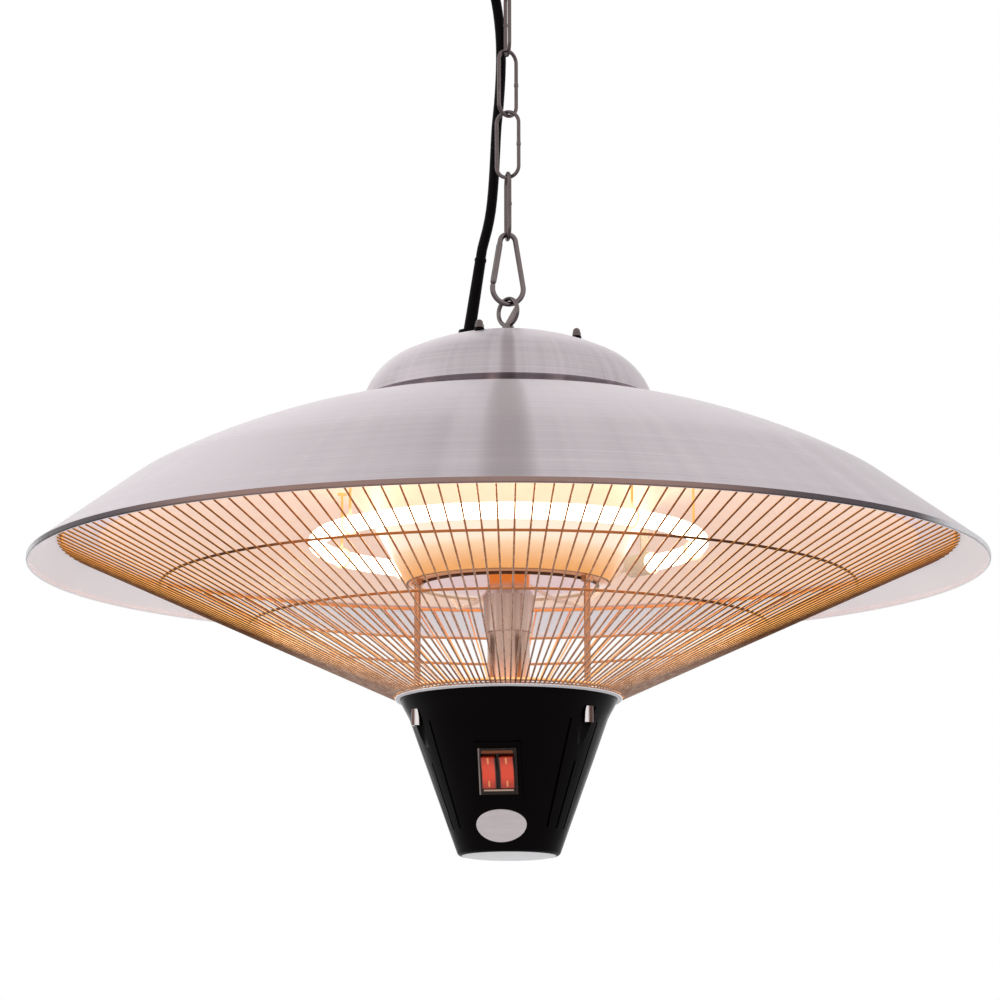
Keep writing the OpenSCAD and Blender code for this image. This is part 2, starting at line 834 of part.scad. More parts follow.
// Places a piece on the lamp ring, pointing along it
module on_lamp(a) {
  rotate([0, 0, a]) translate([lamp_r, 0, lamp_z]) rotate([-90, 0, 0]) children();
}

// Height from the lamp's axis up to the reflector
lamp_lift = reflector_crest - sheet - lamp_z;
holder_len = 20;
lead_d = 2.6;
lead_z = 7 - clamp_drop;
function lead_angle(s) = 90 + s * (lamp_open / 2 - atan((holder_len + seat) / lamp_r));
function polar(r, a, z) = [r * cos(a), r * sin(a), z];

// Ceramic end holders, each hung from the reflector by a strap
module lamp_ends() {
  strap_w = 6;
  strap_t = 1.4;
  color("white")
  at_rim()
    for (s = [0, 1])
      on_lamp(90 + (s == 0 ? 1 : -1) * lamp_open / 2)
        mirror([0, 0, s == 0 ? 1 : 0])
          translate([0, 0, seat]) {
            cylinder(d = lamp_d + 4, h = holder_len);
            translate([-strap_w / 2, -lamp_lift + 0.4, (holder_len - strap_w) / 2]) {
              cube([strap_w, lamp_lift - 4, strap_t]);
              cube([strap_w, strap_t, strap_w]);
            }
          }
}

// Spring wire clips that hold the lamp under the reflector, each with a foot
module lamp_clips() {
  clip_d = 1.6;
  loop_r = lamp_d / 2 + clip_d / 2 + seat;
  color(steel)
  at_rim()
    for (a = [-90 - 46, -90 + 46, -90 - 110, -90 + 110])
      on_lamp(a) {
        rotate_extrude() translate([loop_r, 0]) circle(d = clip_d);
        rotate([90, 0, 0])
          translate([0, 0, loop_r]) cylinder(d = clip_d, h = lamp_lift - loop_r - 0.6);
        rotate([90, 0, 0]) translate([0, 0, lamp_lift - 1.6]) cylinder(d = 6, h = 1.2);
      }
}

// Insulated leads from the lamp's ends, under the reflector's flange and into the column
module lamp_leads() {
  low_z = reflector_foot - sheet - stay_ring_d - lead_d;
  color("ivory")
  at_rim()
    for (s = [-1, 1])
      let (
        a = 90 + s * lamp_open / 2,
        b = lead_angle(s),
        way = s * [sin(a), -cos(a), 0],
        end = polar(lamp_r, a, lamp_z) + (holder_len + seat) * way
      )
      bent_bar([
        end + 0.3 * way,
        end + 6 * way,
        polar(reflector_bend + 10, b, low_z),
        polar(reflector_hole - 8, b, low_z),
        polar(column_r - column_wall / 2, b, lead_z)
      ], lead_d);
}

// Tube from the base plate up into the cap, with a flange on the shade
module column_tube() {
  color(steel)
  at_rim()
    difference() {
      union() {
        translate([0, 0, base_top + seat])
          cylinder(r = column_r, h = column_top - base_top - seat);
        translate([0, 0, shade_h + seat]) cylinder(r = flange_r, h = flange_t);
      }
      translate([0, 0, base_top - 1])
        cylinder(r = column_r - column_wall, h = column_top - base_top + 2);
      for (s = [-1, 1])
        translate([0, 0, lead_z])
          rotate([0, 90, lead_angle(s)]) cylinder(d = lead_d + 1.6, h = column_r + 1);
    }
}

// Tapered collar with a bevelled top, held by a set screw
module column_collar() {
  bevel_h = 4;
  foot_d = clamp_d - 2.5;
  color(steel)
  at_rim()
    translate([0, 0, -clamp_drop - clamp_len])
      difference() {
        union() {
          cylinder(d1 = foot_d, d2 = clamp_d, h = clamp_len - bevel_h);
          translate([0, 0, clamp_len - bevel_h])
            cylinder(d1 = clamp_d, d2 = column_d + 1.4, h = bevel_h);
        }
        translate([0, 0, -1]) cylinder(r = column_r + seat / 2, h = clamp_len + 2);
        translate([0, column_r + 10, 6]) rotate([90, 0, 0]) cylinder(d = 3, h = 12);
      }
}

module at_rods() {
  for (a = rod_angles)
    rotate([0, 0, a]) translate([rod_r, 0, 0]) children();
}

// Three threaded rods from the reflector's flange down into the housing
module support_rods() {
  rod_foot = pocket_top - 6;
  color(steel)
  at_rim()
    at_rods()
      translate([0, 0, rod_foot])
        cylinder(d = rod_d, h = flange_under - rod_foot);
}

// Nuts under the reflector's flange and on the base plate
module rod_nuts() {
  color(steel)
  at_rim()
    at_rods()
      for (z = [flange_under - rod_nut_h, base_top + seat])
        translate([0, 0, z])
          difference() {
            cylinder(d = rod_nut_d, h = rod_nut_h, $fn = 6);
            translate([0, 0, -1]) cylinder(d = rod_d + 0.1, h = rod_nut_h + 2);
          }
}

// Wire ring under the reflector's flange, which stiffens the edge of its hole
module stay_rings() {
  color([0.3, 0.28, 0.27])
  at_rim() ring(stay_r, flange_under - stay_ring_d / 2, stay_ring_d);
}

module guard_wires() {
  color(chrome)
  at_rim()
    for (i = [0 : wire_n - 1])
      rotate([0, 0, 360 * i / wire_n])
        translate([wire_foot[0], 0, wire_foot[1]])
          rotate([0, 90 - guard_slope, 0])
            cylinder(d = wire_d, h = wire_len);
}

module guard_top_ring() {
  color(chrome)
  at_rim() ring(top_ring[0], top_ring[1], ring_d);
}

function on_guard(r) = bottom_ring[1] + (r - bottom_ring[0]) * tan(guard_slope);

module guard_upper_ring() {
  color(chrome)
  at_rim() ring(upper_ring_r, on_guard(upper_ring_r), ring_d);
}

module guard_lower_ring() {
  color(chrome)
  at_rim() ring(lower_ring_r, on_guard(lower_ring_r), ring_d);
}

module guard_bottom_ring() {
  color(chrome)
  at_rim() ring(bottom_ring[0], bottom_ring[1], ring_d);
}

// Steel plate with a beaded edge, which closes the housing and carries the column
module base_plate() {
  color(steel)
  at_rim()
    difference() {
      rotate_extrude() {
        translate([cord_d + 1.5, base_bottom]) square([bead_c[0] - cord_d - 1.5, base_t]);
        translate(bead_c) circle(r = base_bead_r);
      }
      at_rods() translate([0, 0, base_bottom - 1]) cylinder(d = rod_d + 0.4, h = base_t + 2);
    }
}

module housing_outside() {
  collar_step = 2.6;
  rotate_extrude()
    polygon(concat(
      [[0, housing_top], [housing_top_d / 2, housing_top]],
      [[housing_top_d / 2 - 0.9, housing_top - collar_step], [neck_r, neck_z]],
      [for (i = [0 : 5]) let (a = housing_taper + (90 - housing_taper) * i / 5)
        fillet_c + housing_fillet * [cos(a), -sin(a)]],
      [[0, housing_bottom]]
    ));
}

module housing_inside() {
  floor_z = housing_bottom + lens_t + ledge_t;
  wall = housing_wall / cos(housing_taper);
  rotate_extrude()
    polygon([
      [0, housing_top + 1],
      [housing_r(housing_top) - wall - 0.6, housing_top + 1],
      [neck_r - wall, neck_z],
      [housing_r(floor_z) - wall, floor_z],
      [0, floor_z]
    ]);
}

// Places a piece on the front of the housing, facing out, at a height
module on_front(z) {
  translate([0, -housing_r(z), z]) rotate([90 + housing_taper, 0, 0]) children();
}

// One groove down the side of the housing
module groove(turn, top) {
  low = housing_r(groove_end);
  high = housing_r(top);
  lean = atan((high - low) / (top - groove_end));
  rotate([0, 0, turn])
    translate([0, -low, groove_end])
      rotate([lean, 0, 0])
        translate([-groove_w / 2, -6, 0])
          cube([groove_w, 6 + groove_depth, (top - groove_end) / cos(lean)]);
}

// A long groove on each side of every pocket, and a short one below it
module grooves() {
  for (a = rod_angles) {
    for (s = [-1, 1]) groove(a + 90 + s * groove_turn, groove_top);
    groove(a + 90, pocket_bottom + 1);
  }
}

// Moulded housing: tapered shell, nut pockets, side grooves, switch pad and lens ledge
module control_housing() {
  color(black)
  at_rim()
    difference() {
      union() {
        housing_outside();
        on_front(switch_z)
          translate([-pad_w / 2, -pad_h / 2, -4]) cube([pad_w, pad_h, 4 + pad_t]);
      }
      difference() {
        housing_inside();
        at_rods()
          translate([0, 0, pocket_bottom])
            cylinder(d = pocket_d + 5, h = housing_top - pocket_bottom);
        on_front(switch_z)
          translate([-pad_w / 2, -pad_h / 2, -5.5]) cube([pad_w, pad_h, 5]);
      }
      at_rods() {
        translate([0, 0, pocket_bottom]) cylinder(d = pocket_d, h = pocket_top - pocket_bottom);
        translate([0, 0, pocket_top - 1]) cylinder(d = rod_d + 0.6, h = 12);
      }
      grooves();
      on_front(switch_z)
        translate([-switch_w / 2 + 1, -switch_h / 2 + 1, -8])
          cube([switch_w - 2, switch_h - 2, 12]);
      translate([0, 0, housing_bottom - 1]) cylinder(r = lens_r + seat, h = lens_t + 1 + seat);
      translate([0, 0, housing_bottom - 1]) cylinder(r = lens_r - ledge_w, h = 10);
    }
}

// Bright sleeve nuts on the rods' lower ends, in the housing's pockets
module sleeve_nuts() {
  color(chrome)
  at_rim()
    at_rods()
      translate([0, 0, pocket_top - seat - sleeve_len])
        difference() {
          cylinder(d = sleeve_d, h = sleeve_len);
          translate([0, 0, 3.5]) cylinder(d = rod_d + 0.1, h = sleeve_len);
          translate([0, 0, -1]) cylinder(d = 4, h = 3.5, $fn = 6);
        }
}

module well_place(s) {
  translate([s * well_pitch / 2, 0, 0]) children();
}

// Frame and body of the double switch, with a well and pivot holes for each rocker
module switch_frame() {
  color([0.2, 0.2, 0.2])
  at_rim()
    on_front(switch_z)
      translate([0, 0, pad_t + seat])
        difference() {
          union() {
            translate([-switch_w / 2, -switch_h / 2, 0]) cube([switch_w, switch_h, bezel_t]);
            translate([-switch_w / 2 + 1.2, -switch_h / 2 + 1.2, -switch_box_t])
              cube([switch_w - 2.4, switch_h - 2.4, switch_box_t + 1]);
          }
          for (s = [-1, 1])
            well_place(s) {
              translate([-well_w / 2, -well_h / 2, bezel_t - well_depth])
                cube([well_w, well_h, well_depth + 1]);
              translate([0, 0, rocker_pivot]) rotate([0, 90, 0])
                cylinder(d = axle_d + 2 * pin_play, h = well_w + 1.2, center = true);
            }
        }
}

// Dished rocker on its axle, resting with its lower end pressed in
module rocker(s) {
  rest = rocker_travel / 2;
  color("red")
  at_rim()
    on_front(switch_z)
      translate([0, 0, pad_t + seat])
        well_place(s)
          translate([0, 0, rocker_pivot])
            rotate([rest, 0, 0])
              rotate([90, 0, 90]) {
                translate([0, 0, -rocker_w / 2])
                  linear_extrude(rocker_w)
                    polygon([
                      [-10, 5], [-9.7, 5.4], [0, 3.6], [9.7, 5.4], [10, 5],
                      [10, 2], [3, -2], [-3, -2], [-10, 2]
                    ]);
                cylinder(d = axle_d, h = well_w + 2 * axle_reach, center = true);
              }
}

module rocker_left() { rocker(-1); }
module rocker_right() { rocker(1); }

// Plain oval plate, curved to the housing
module badge() {
  lift = badge_t / cos(housing_taper);
  color("tan")
  at_rim()
    intersection() {
      rotate_extrude()
        polygon([
          [housing_r(badge_z + 16) + 0.05, badge_z + 16],
          [housing_r(badge_z + 16) + lift, badge_z + 16],
          [housing_r(badge_z - 14) + lift, badge_z - 14],
          [housing_r(badge_z - 14) + 0.05, badge_z - 14]
        ]);
      on_front(badge_z)
        translate([0, 0, -12])
          linear_extrude(20)
            polygon([for (i = [0 : 47])
              [badge_w / 2 * cos(7.5 * i), badge_h / 2 * sin(7.5 * i)]]);
    }
}

// White lens of the light under the housing
module light_lens() {
  color("white")
  at_rim()
    translate([0, 0, housing_bottom]) {
      cylinder(r = lens_r, h = lens_t);
      translate([0, 0, -0.6]) cylinder(r1 = lens_r - 3, r2 = lens_r - 0.4, h = 0.6);
    }
}

// Round board with its lamps and two pillars of parts
module led_board() {
  board_z = housing_bottom + lens_t + ledge_t + seat;
  board_r = lens_r - 1;
  color("green")
  at_rim() {
    translate([0, 0, board_z]) cylinder(r = board_r, h = 1.6);
    for (i = [0 : 7])
      rotate([0, 0, 45 * i])
        translate([18 - 2.5, -2.5, board_z - 1]) cube([5, 5, 1.5]);
    translate([-7, -5, board_z + 1.5]) cube([14, 10, 8]);
  }
}

// Block with a screw well for each of the cable's three wires
block_size = [18, 24, 14];
block_x = 12;

module terminal_block() {
  color("white")
  at_rim()
    translate([block_x, -block_size[1] / 2, base_bottom - seat - block_size[2]])
      difference() {
        cube(block_size);
        for (i = [-1 : 1])
          translate([block_size[0] / 2, block_size[1] / 2 + 8 * i, -1]) cylinder(d = 4.4, h = 7);
      }
}

// Thermostat that cuts the lamp off when the housing overheats or tips
module thermal_cutout() {
  color("dimgray")
  at_rim()
    translate([-26, 6, base_bottom - seat]) {
      translate([0, 0, -11]) cylinder(d = 16, h = 11);
      for (x = [-4, 3]) translate([x, -0.4, -18]) cube([1, 5, 8]);
    }
}

// Inner cable from the gland down the column to the side of the terminal block
module inner_cable() {
  drop = base_bottom - block_size[2] / 2;
  color(black)
  at_rim()
    tube([
      [gland_xy[0], gland_xy[1], cap_top + 1],
      [gland_xy[0], gland_xy[1], cap_top - 11],
      [gland_xy[0] + 3, gland_xy[1] - 1.4, cap_top - 18],
      [-17, 7.5, cap_top - 23],
      [-9, 4, column_top + 9],
      [-5, 1, column_top + 3],
      [-4, 0, column_top - 5],
      [-3, 0, drop + 14],
      [-2, 0, drop + 8],
      [3, 0, drop + 1],
      [block_x - 0.5, 0, drop]
    ], cord_d, 8);
}

// Gland nut on the cap, with a bore for the strain relief
module cable_gland() {
  foot = crown_c[1] + sqrt(pow(cap_crown_r, 2) - pow(norm(gland_xy), 2));
  color(black)
  at_rim()
    translate([gland_xy[0], gland_xy[1], 0])
      difference() {
        union() {
          difference() {
            union() {
              translate([0, 0, foot - 4]) cylinder(d = gland_d, h = 8, $fn = 6);
              translate([0, 0, foot + 4]) cylinder(d1 = gland_d - 2.5, d2 = gland_d - 4, h = 4);
            }
            translate([-gland_xy[0], -gland_xy[1], 0]) cap_solid(-seat);
          }
          translate([0, 0, foot - 9]) cylinder(d = gland_stem_d, h = 12);
        }
        translate([0, 0, foot - 10]) cylinder(d = boot_d + 1.2, h = 30);
      }
}

// Smooth tapered strain relief with a low band round its tip
module cord_boot() {
  band_h = 2;
  color(black)
  translate(boot_top)
    rotate([0, boot_tilt, boot_turn]) {
      translate([0, 0, -boot_len]) cylinder(d1 = boot_d, d2 = boot_tip_d, h = boot_len);
      translate([0, 0, -band_h]) cylinder(d = boot_tip_d + 0.6, h = band_h);
    }
}

module power_cord() {
  color(black) tube(cord_points, cord_d, cord_sides);
}

module cord_coil() {
  color(black) tube(coil_path, cord_d, coil_sides);
}

// Strap round the coil and the near leg of link 5
module tie_outline(t) {
  coil_y = coil_layers * coil_pitch / 2 + 0.2;
  inner_x = coil_mid[0] + sqrt(pow(coil_r - coil_pitch * layer_turns - cord_d / 2, 2)
    - pow(abs(tie_z - coil_mid[2]) + tie_w / 2, 2)) - 0.6;
  outer_x = coil_mid[0] + sqrt(pow(coil_r + cord_d / 2, 2)
    - pow(abs(tie_z - coil_mid[2]) - tie_w / 2, 2)) + 0.6;
  back_x = coil_mid[0] + coil_r + cord_d / 2 + 1.5;
  link_x = -link_bend + link_wire / 2 + 0.3;
  polygon([
    [inner_x - t, -coil_y - t], [outer_x + t / 2, -coil_y - t],
    [link_x + t, -link_wire - t], [link_x + t, link_wire + t],
    [back_x + t / 2, coil_y + t], [inner_x - t, coil_y + t]
  ]);
}

module cord_tie() {
  color("dimgray")
  translate([0, 0, tie_z - tie_w / 2])
    linear_extrude(tie_w)
      difference() {
        tie_outline(tie_t);
        tie_outline(0);
      }
}

// Flat round plug with its cord entry at the top
module plug_body() {
  color(black)
  translate(plug_mid) {
    difference() {
      rotate([90, 0, 0])
        rotate_extrude()
          polygon([
            [0, -plug_t / 2], [plug_d / 2 - 2, -plug_t / 2], [plug_d / 2, -plug_t / 2 + 2],
            [plug_d / 2, plug_t / 2 - 1], [plug_d / 2 - 1, plug_t / 2], [0, plug_t / 2]
          ]);
      for (s = [-1, 1])
        translate([0, -plug_t / 2 - 1, s * (plug_d / 2)])
          rotate([-90, 0, 0]) cylinder(d = 6, h = 8);
      for (s = [-1, 1])
        translate([s * pin_pitch / 2, -plug_t / 2 + 4, 0])
          rotate([90, 0, 0]) cylinder(d = pin_d + 0.02, h = 8);
    }
    translate([0, 0, plug_d / 2 - 1])
      cylinder(d1 = 13, d2 = cord_d + 1.6, h = plug_boot);
  }
}

module plug_pins() {
  color(chrome)
  for (s = [-1, 1])
    translate(plug_mid + [s * pin_pitch / 2, -plug_t / 2 + 4, 0])
      rotate([90, 0, 0]) {
        cylinder(d = pin_d, h = 4 + pin_len - 1);
        translate([0, 0, 4 + pin_len - 1]) cylinder(d1 = pin_d, d2 = pin_d - 2, h = 1);
      }
}

ceiling_hook();
chain_link_6();
chain_link_5();
chain_link_4();
chain_link_3();
chain_link_2();
chain_link_1();
snap_hook_body();
snap_hook_gate();
gate_pin();
eye_bolt();
eye_nut();
cap_dome();
cap_spacers();
cap_bolts();
cap_washers();
cap_nuts();
shade();
reflector();
lamp_tube();
lamp_filament();
lamp_ends();
lamp_clips();
lamp_leads();
column_tube();
column_collar();
support_rods();
rod_nuts();
stay_rings();
guard_wires();
guard_top_ring();
guard_upper_ring();
guard_lower_ring();
guard_bottom_ring();
base_plate();
control_housing();
sleeve_nuts();
switch_frame();
rocker_left();
rocker_right();
badge();
light_lens();
led_board();
terminal_block();
thermal_cutout();
inner_cable();
cable_gland();
cord_boot();
power_cord();
cord_coil();
cord_tie();
plug_body();
plug_pins();
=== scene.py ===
# %% [markdown]
# # A hanging halogen heater
# The heater is a spun steel shade with a ring lamp behind a cone of wires. It hangs from a
# ceiling hook by a short chain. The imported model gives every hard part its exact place, so
# this lesson loads it first, then sets up the camera and the light, adds the fine pieces and
# the cord, and finishes every surface with node materials.

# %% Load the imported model
import json
import math

import bmesh
import bpy
from mathutils import Matrix, Vector

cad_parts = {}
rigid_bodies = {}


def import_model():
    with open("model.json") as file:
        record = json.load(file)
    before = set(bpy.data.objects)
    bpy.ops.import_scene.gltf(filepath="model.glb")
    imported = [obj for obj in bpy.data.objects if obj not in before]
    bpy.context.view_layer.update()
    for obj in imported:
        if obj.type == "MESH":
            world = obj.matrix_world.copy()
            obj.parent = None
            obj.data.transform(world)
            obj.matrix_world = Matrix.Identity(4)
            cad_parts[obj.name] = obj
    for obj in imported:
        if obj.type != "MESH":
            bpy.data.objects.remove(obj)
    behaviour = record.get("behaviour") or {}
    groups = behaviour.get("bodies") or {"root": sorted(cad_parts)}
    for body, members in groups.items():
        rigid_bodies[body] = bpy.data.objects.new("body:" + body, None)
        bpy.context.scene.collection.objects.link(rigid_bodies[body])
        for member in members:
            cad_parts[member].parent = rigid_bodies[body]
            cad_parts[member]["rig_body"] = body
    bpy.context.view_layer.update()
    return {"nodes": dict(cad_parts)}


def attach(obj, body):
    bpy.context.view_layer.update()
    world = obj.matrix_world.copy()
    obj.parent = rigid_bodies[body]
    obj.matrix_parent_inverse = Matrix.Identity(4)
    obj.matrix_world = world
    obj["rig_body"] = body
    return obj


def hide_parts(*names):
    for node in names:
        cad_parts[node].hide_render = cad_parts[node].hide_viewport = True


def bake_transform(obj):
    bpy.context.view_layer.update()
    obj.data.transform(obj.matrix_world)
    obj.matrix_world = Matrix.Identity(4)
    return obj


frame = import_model()
nodes = frame["nodes"]

# %% [markdown]
# ## The camera
# The photograph looks up at the shade from below its rim, through a long lens. A long lens
# keeps the far rim almost as wide as the near one. The camera could be aimed with a Track To
# constraint, but a matrix built from turns keeps the small yaw and roll of the picture.


# %% The camera
def placed(name, data):
    """A new object for a mesh, curve, lamp or camera, linked to the scene."""
    made = bpy.data.objects.new(name, data)
    bpy.context.scene.collection.objects.link(made)
    return made


RIM_Z = -0.49978               # height of the shade's rim, below the ceiling
DISTANCE, BELOW_RIM = 2.6, 0.4248
SENSOR = 36.0                  # millimetres, as on a full frame camera
FOCAL_RATIO = 4.2119           # focal length over the picture's width
AZIMUTH, PITCH, YAW, ROLL = (math.radians(a) for a in (7.5, 10.14, 0.115, -0.086))

lens = bpy.data.cameras.new("camera")
lens.sensor_width = SENSOR
lens.lens = SENSOR * FOCAL_RATIO
lens.clip_end = 50.0
camera = placed("camera", lens)
place = Vector((
    DISTANCE * math.sin(AZIMUTH), -DISTANCE * math.cos(AZIMUTH), RIM_Z - BELOW_RIM))
turn = (
    Matrix.Rotation(AZIMUTH + YAW, 4, "Z")
    @ Matrix.Rotation(math.radians(90) + PITCH, 4, "X")
    @ Matrix.Rotation(ROLL, 4, "Z")
)
camera.matrix_world = Matrix.Translation(place) @ turn
bpy.context.scene.camera = camera
bpy.context.scene.view_settings.view_transform = "Standard"
print("camera at", [round(c, 3) for c in place], "lens", round(lens.lens, 1), "mm")

# %% [markdown]
# ## Smooth copies of the spun and moulded parts
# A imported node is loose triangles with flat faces. That is right for a flat plate, but a spun
# shade would show facets. A copy with its doubles merged can be shaded smooth, with a sharp
# edge only where two faces meet at a real corner. The Smooth by Angle modifier does the
# same, but marking the edges leaves a plain mesh that any other program can read.


# %% From a bmesh to a piece that stands for a node
smooth = {}


def shade_smooth(form, sharp_from):
    """Smooth faces, and a sharp edge where two faces meet at a larger angle."""
    for face in form.faces:
        face.smooth = True
    for edge in form.edges:
        edge.smooth = len(edge.link_faces) == 2 and edge.calc_face_angle(0) < sharp_from


def as_piece(name, form):
    mesh = bpy.data.meshes.new(name)
    form.to_mesh(mesh)
    form.free()
    return placed(name, mesh)


def stands_for(piece, node):
    """The piece hides the node and moves with the node's body."""
    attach(piece, nodes[node]["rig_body"])
    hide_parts(node)
    smooth[node] = piece


# %% Smooth copies
MOULDED_CORNER = math.radians(28)
SAME_POINT = 2e-6              # corners closer than this are one


def smooth_copy(name):
    copy = bmesh.new()
    copy.from_mesh(nodes[name].data)
    bmesh.ops.remove_doubles(copy, verts=copy.verts, dist=SAME_POINT)
    shade_smooth(copy, MOULDED_CORNER)
    stands_for(as_piece(name + "_smooth", copy), name)


CHAIN = ["chain_link_%d" % i for i in range(1, 7)]
SMOOTH = [
    "shade", "cap_dome", "reflector", "control_housing", "ceiling_hook", "snap_hook_body",
    "snap_hook_gate", "eye_bolt", "plug_body", "lamp_tube", "light_lens", "base_plate",
    "column_tube", "column_collar", "sleeve_nuts", "cable_gland", "guard_top_ring",
    "guard_bottom_ring", "stay_rings", "badge", "inner_cable", "rocker_left", "rocker_right",
    "support_rods", "lamp_leads", "plug_pins", "cap_spacers", "eye_nut", "rod_nuts",
    "lamp_ends", "lamp_clips",
]
for part in SMOOTH + CHAIN:
    smooth_copy(part)
print("smooth copies:", len(smooth))

# %% [markdown]
# ## Turned pieces
# Nuts, washers, bolts and wires are all round, so each is a short profile of radius and
# height that is spun about its own axis. A second spin, with copies, sets it round the
# heater. An array modifier would do that too, but a spin in the bmesh gives one plain mesh
# at once, with nothing left to apply.

# %% Spin a profile and repeat it
TURNED_CORNER = math.radians(35)
FULL_TURN = 2 * math.pi
AXIS = {"cent": (0, 0, 0), "axis": (0, 0, 1)}


def closed(form):
    """Merges the corners that meet, and points every face outwards."""
    bmesh.ops.remove_doubles(form, verts=form.verts, dist=SAME_POINT / 2)
    bmesh.ops.recalc_face_normals(form, faces=form.faces)


def spun(name, parts, place=Matrix.Identity(4), copies=1):
    """Turns lists of (radius, height) about Z, moves them into place and repeats them."""
    turned = bmesh.new()
    for profile, steps in parts:
        points = [turned.verts.new((r, 0, h)) for r, h in profile]
        edges = [turned.edges.new(pair) for pair in zip(points, points[1:])]
        bmesh.ops.spin(
            turned, geom=points + edges, angle=FULL_TURN, steps=steps, use_merge=True, **AXIS)
    bmesh.ops.transform(turned, matrix=place, verts=turned.verts)
    closed(turned)
    shade_smooth(turned, TURNED_CORNER)
    if copies > 1:
        bmesh.ops.spin(
            turned, geom=turned.verts[:] + turned.edges[:] + turned.faces[:], steps=copies - 1,
            angle=FULL_TURN * (copies - 1) / copies, use_duplicate=True, **AXIS)
    return as_piece(name, turned)


# %% [markdown]
# ## Bolts, washers and dome nuts of the cap
# Four bolts hold the cap. Of each, a black rubber washer and a small dome nut show above the
# steel. The nut is two turned forms in one mesh: a hexagon, which is a profile spun in only
# six steps, and a dome above it, whose profile is an arc.

# %% Cap fasteners
BOLTS, BOLT_CIRCLE, BOLT_TURN = 4, 0.0465, math.radians(-15)
BOLT_SEAT = RIM_Z + 0.1399
SHANK_R, HEAD_R, WASHER_R, NUT_R, DOME_R = 0.0016, 0.0044, 0.0031, 0.0029, 0.0023
BORE_R, WASHER_TOP, NUT_TOP, DOME_Z = 0.0017, 0.0016, 0.0037, 0.0044
at_bolt = Matrix.Rotation(BOLT_TURN, 4, "Z") @ Matrix.Translation((BOLT_CIRCLE, 0, BOLT_SEAT))
bolt = [
    (0, -0.0511), (SHANK_R, -0.0511), (SHANK_R, -0.0500), (HEAD_R, -0.0500),
    (HEAD_R, -0.0470), (SHANK_R, -0.0470), (SHANK_R, 0.0030), (0, 0.0030)]
washer = [
    (BORE_R, -0.0006), (WASHER_R, -0.0011), (WASHER_R, 0.0012), (0.0026, WASHER_TOP),
    (BORE_R, WASHER_TOP), (BORE_R, -0.0006)]
hexagon = [(0, WASHER_TOP), (NUT_R, WASHER_TOP), (NUT_R, 0.0034), (0.0024, NUT_TOP), (0, NUT_TOP)]
dome = [(0, 0.0030), (DOME_R, 0.0030), (DOME_R, DOME_Z)] + [
    (DOME_R * math.cos(a), DOME_Z + DOME_R * math.sin(a))
    for a in (math.radians(15 * i) for i in range(1, 6))] + [(0, DOME_Z + DOME_R)]
stands_for(spun("bolts", [(bolt, 20)], at_bolt, BOLTS), "cap_bolts")
stands_for(spun("washers", [(washer, 28)], at_bolt, BOLTS), "cap_washers")
stands_for(spun("dome_nuts", [(hexagon, 6), (dome, 28)], at_bolt, BOLTS), "cap_nuts")
FASTENERS = ("cap_bolts", "cap_washers", "cap_nuts")
print("faces of the cap's fasteners:", [len(smooth[n].data.polygons) for n in FASTENERS])

# %% [markdown]
# ## The wire guard
# The guard is a cone of 150 straight wires, welded to rings. One wire is a thin prism with
# eight sides, which is plenty for something a millimetre thick, and a spin with copies makes
# the cone. A ring is a small upright circle, spun round the same axis.

# %% Wires and inner rings
WIRES, WIRE, HOOP = 150, 0.00122, 0.0017
FOOT_R, FOOT_Z = 0.07177, RIM_Z - 0.08428
WIRE_LENGTH, SLOPE = 0.2302, math.radians(24.609)
HOOP_SIDES, HOOP_STEPS = 12, 180
QUARTER_TURN = math.pi / 2
at_foot = (
    Matrix.Translation((FOOT_R, 0, FOOT_Z)) @ Matrix.Rotation(QUARTER_TURN - SLOPE, 4, "Y"))
one_wire = [(0, 0), (WIRE / 2, 0), (WIRE / 2, WIRE_LENGTH), (0, WIRE_LENGTH)]
stands_for(spun("wires", [(one_wire, 8)], at_foot, WIRES), "guard_wires")


def hoop(name, radius, height):
    ring = bmesh.new()
    upright = Matrix.Translation((radius, 0, height)) @ Matrix.Rotation(QUARTER_TURN, 4, "X")
    bmesh.ops.create_circle(ring, segments=HOOP_SIDES, radius=HOOP / 2, matrix=upright)
    bmesh.ops.spin(
        ring, geom=ring.verts[:] + ring.edges[:], angle=FULL_TURN, steps=HOOP_STEPS,
        use_merge=True, **AXIS)
    closed(ring)
    shade_smooth(ring, TURNED_CORNER)
    return as_piece(name, ring)


stands_for(hoop("upper_hoop", 0.21717, RIM_Z - 0.01608), "guard_upper_ring")
stands_for(hoop("lower_hoop", 0.16217, RIM_Z - 0.04127), "guard_lower_ring")
print("guard:", WIRES, "wires,", len(smooth["guard_wires"].data.polygons), "faces")

# %% [markdown]
# ## The cord's route
# A mains lead bends as one smooth line. It rises out of its strain relief, passes behind the
# chain and joins a neat coil of spare cord beside the fifth link. The free stretch could be
# found by a simulation, but a short list of points follows the real line more closely.

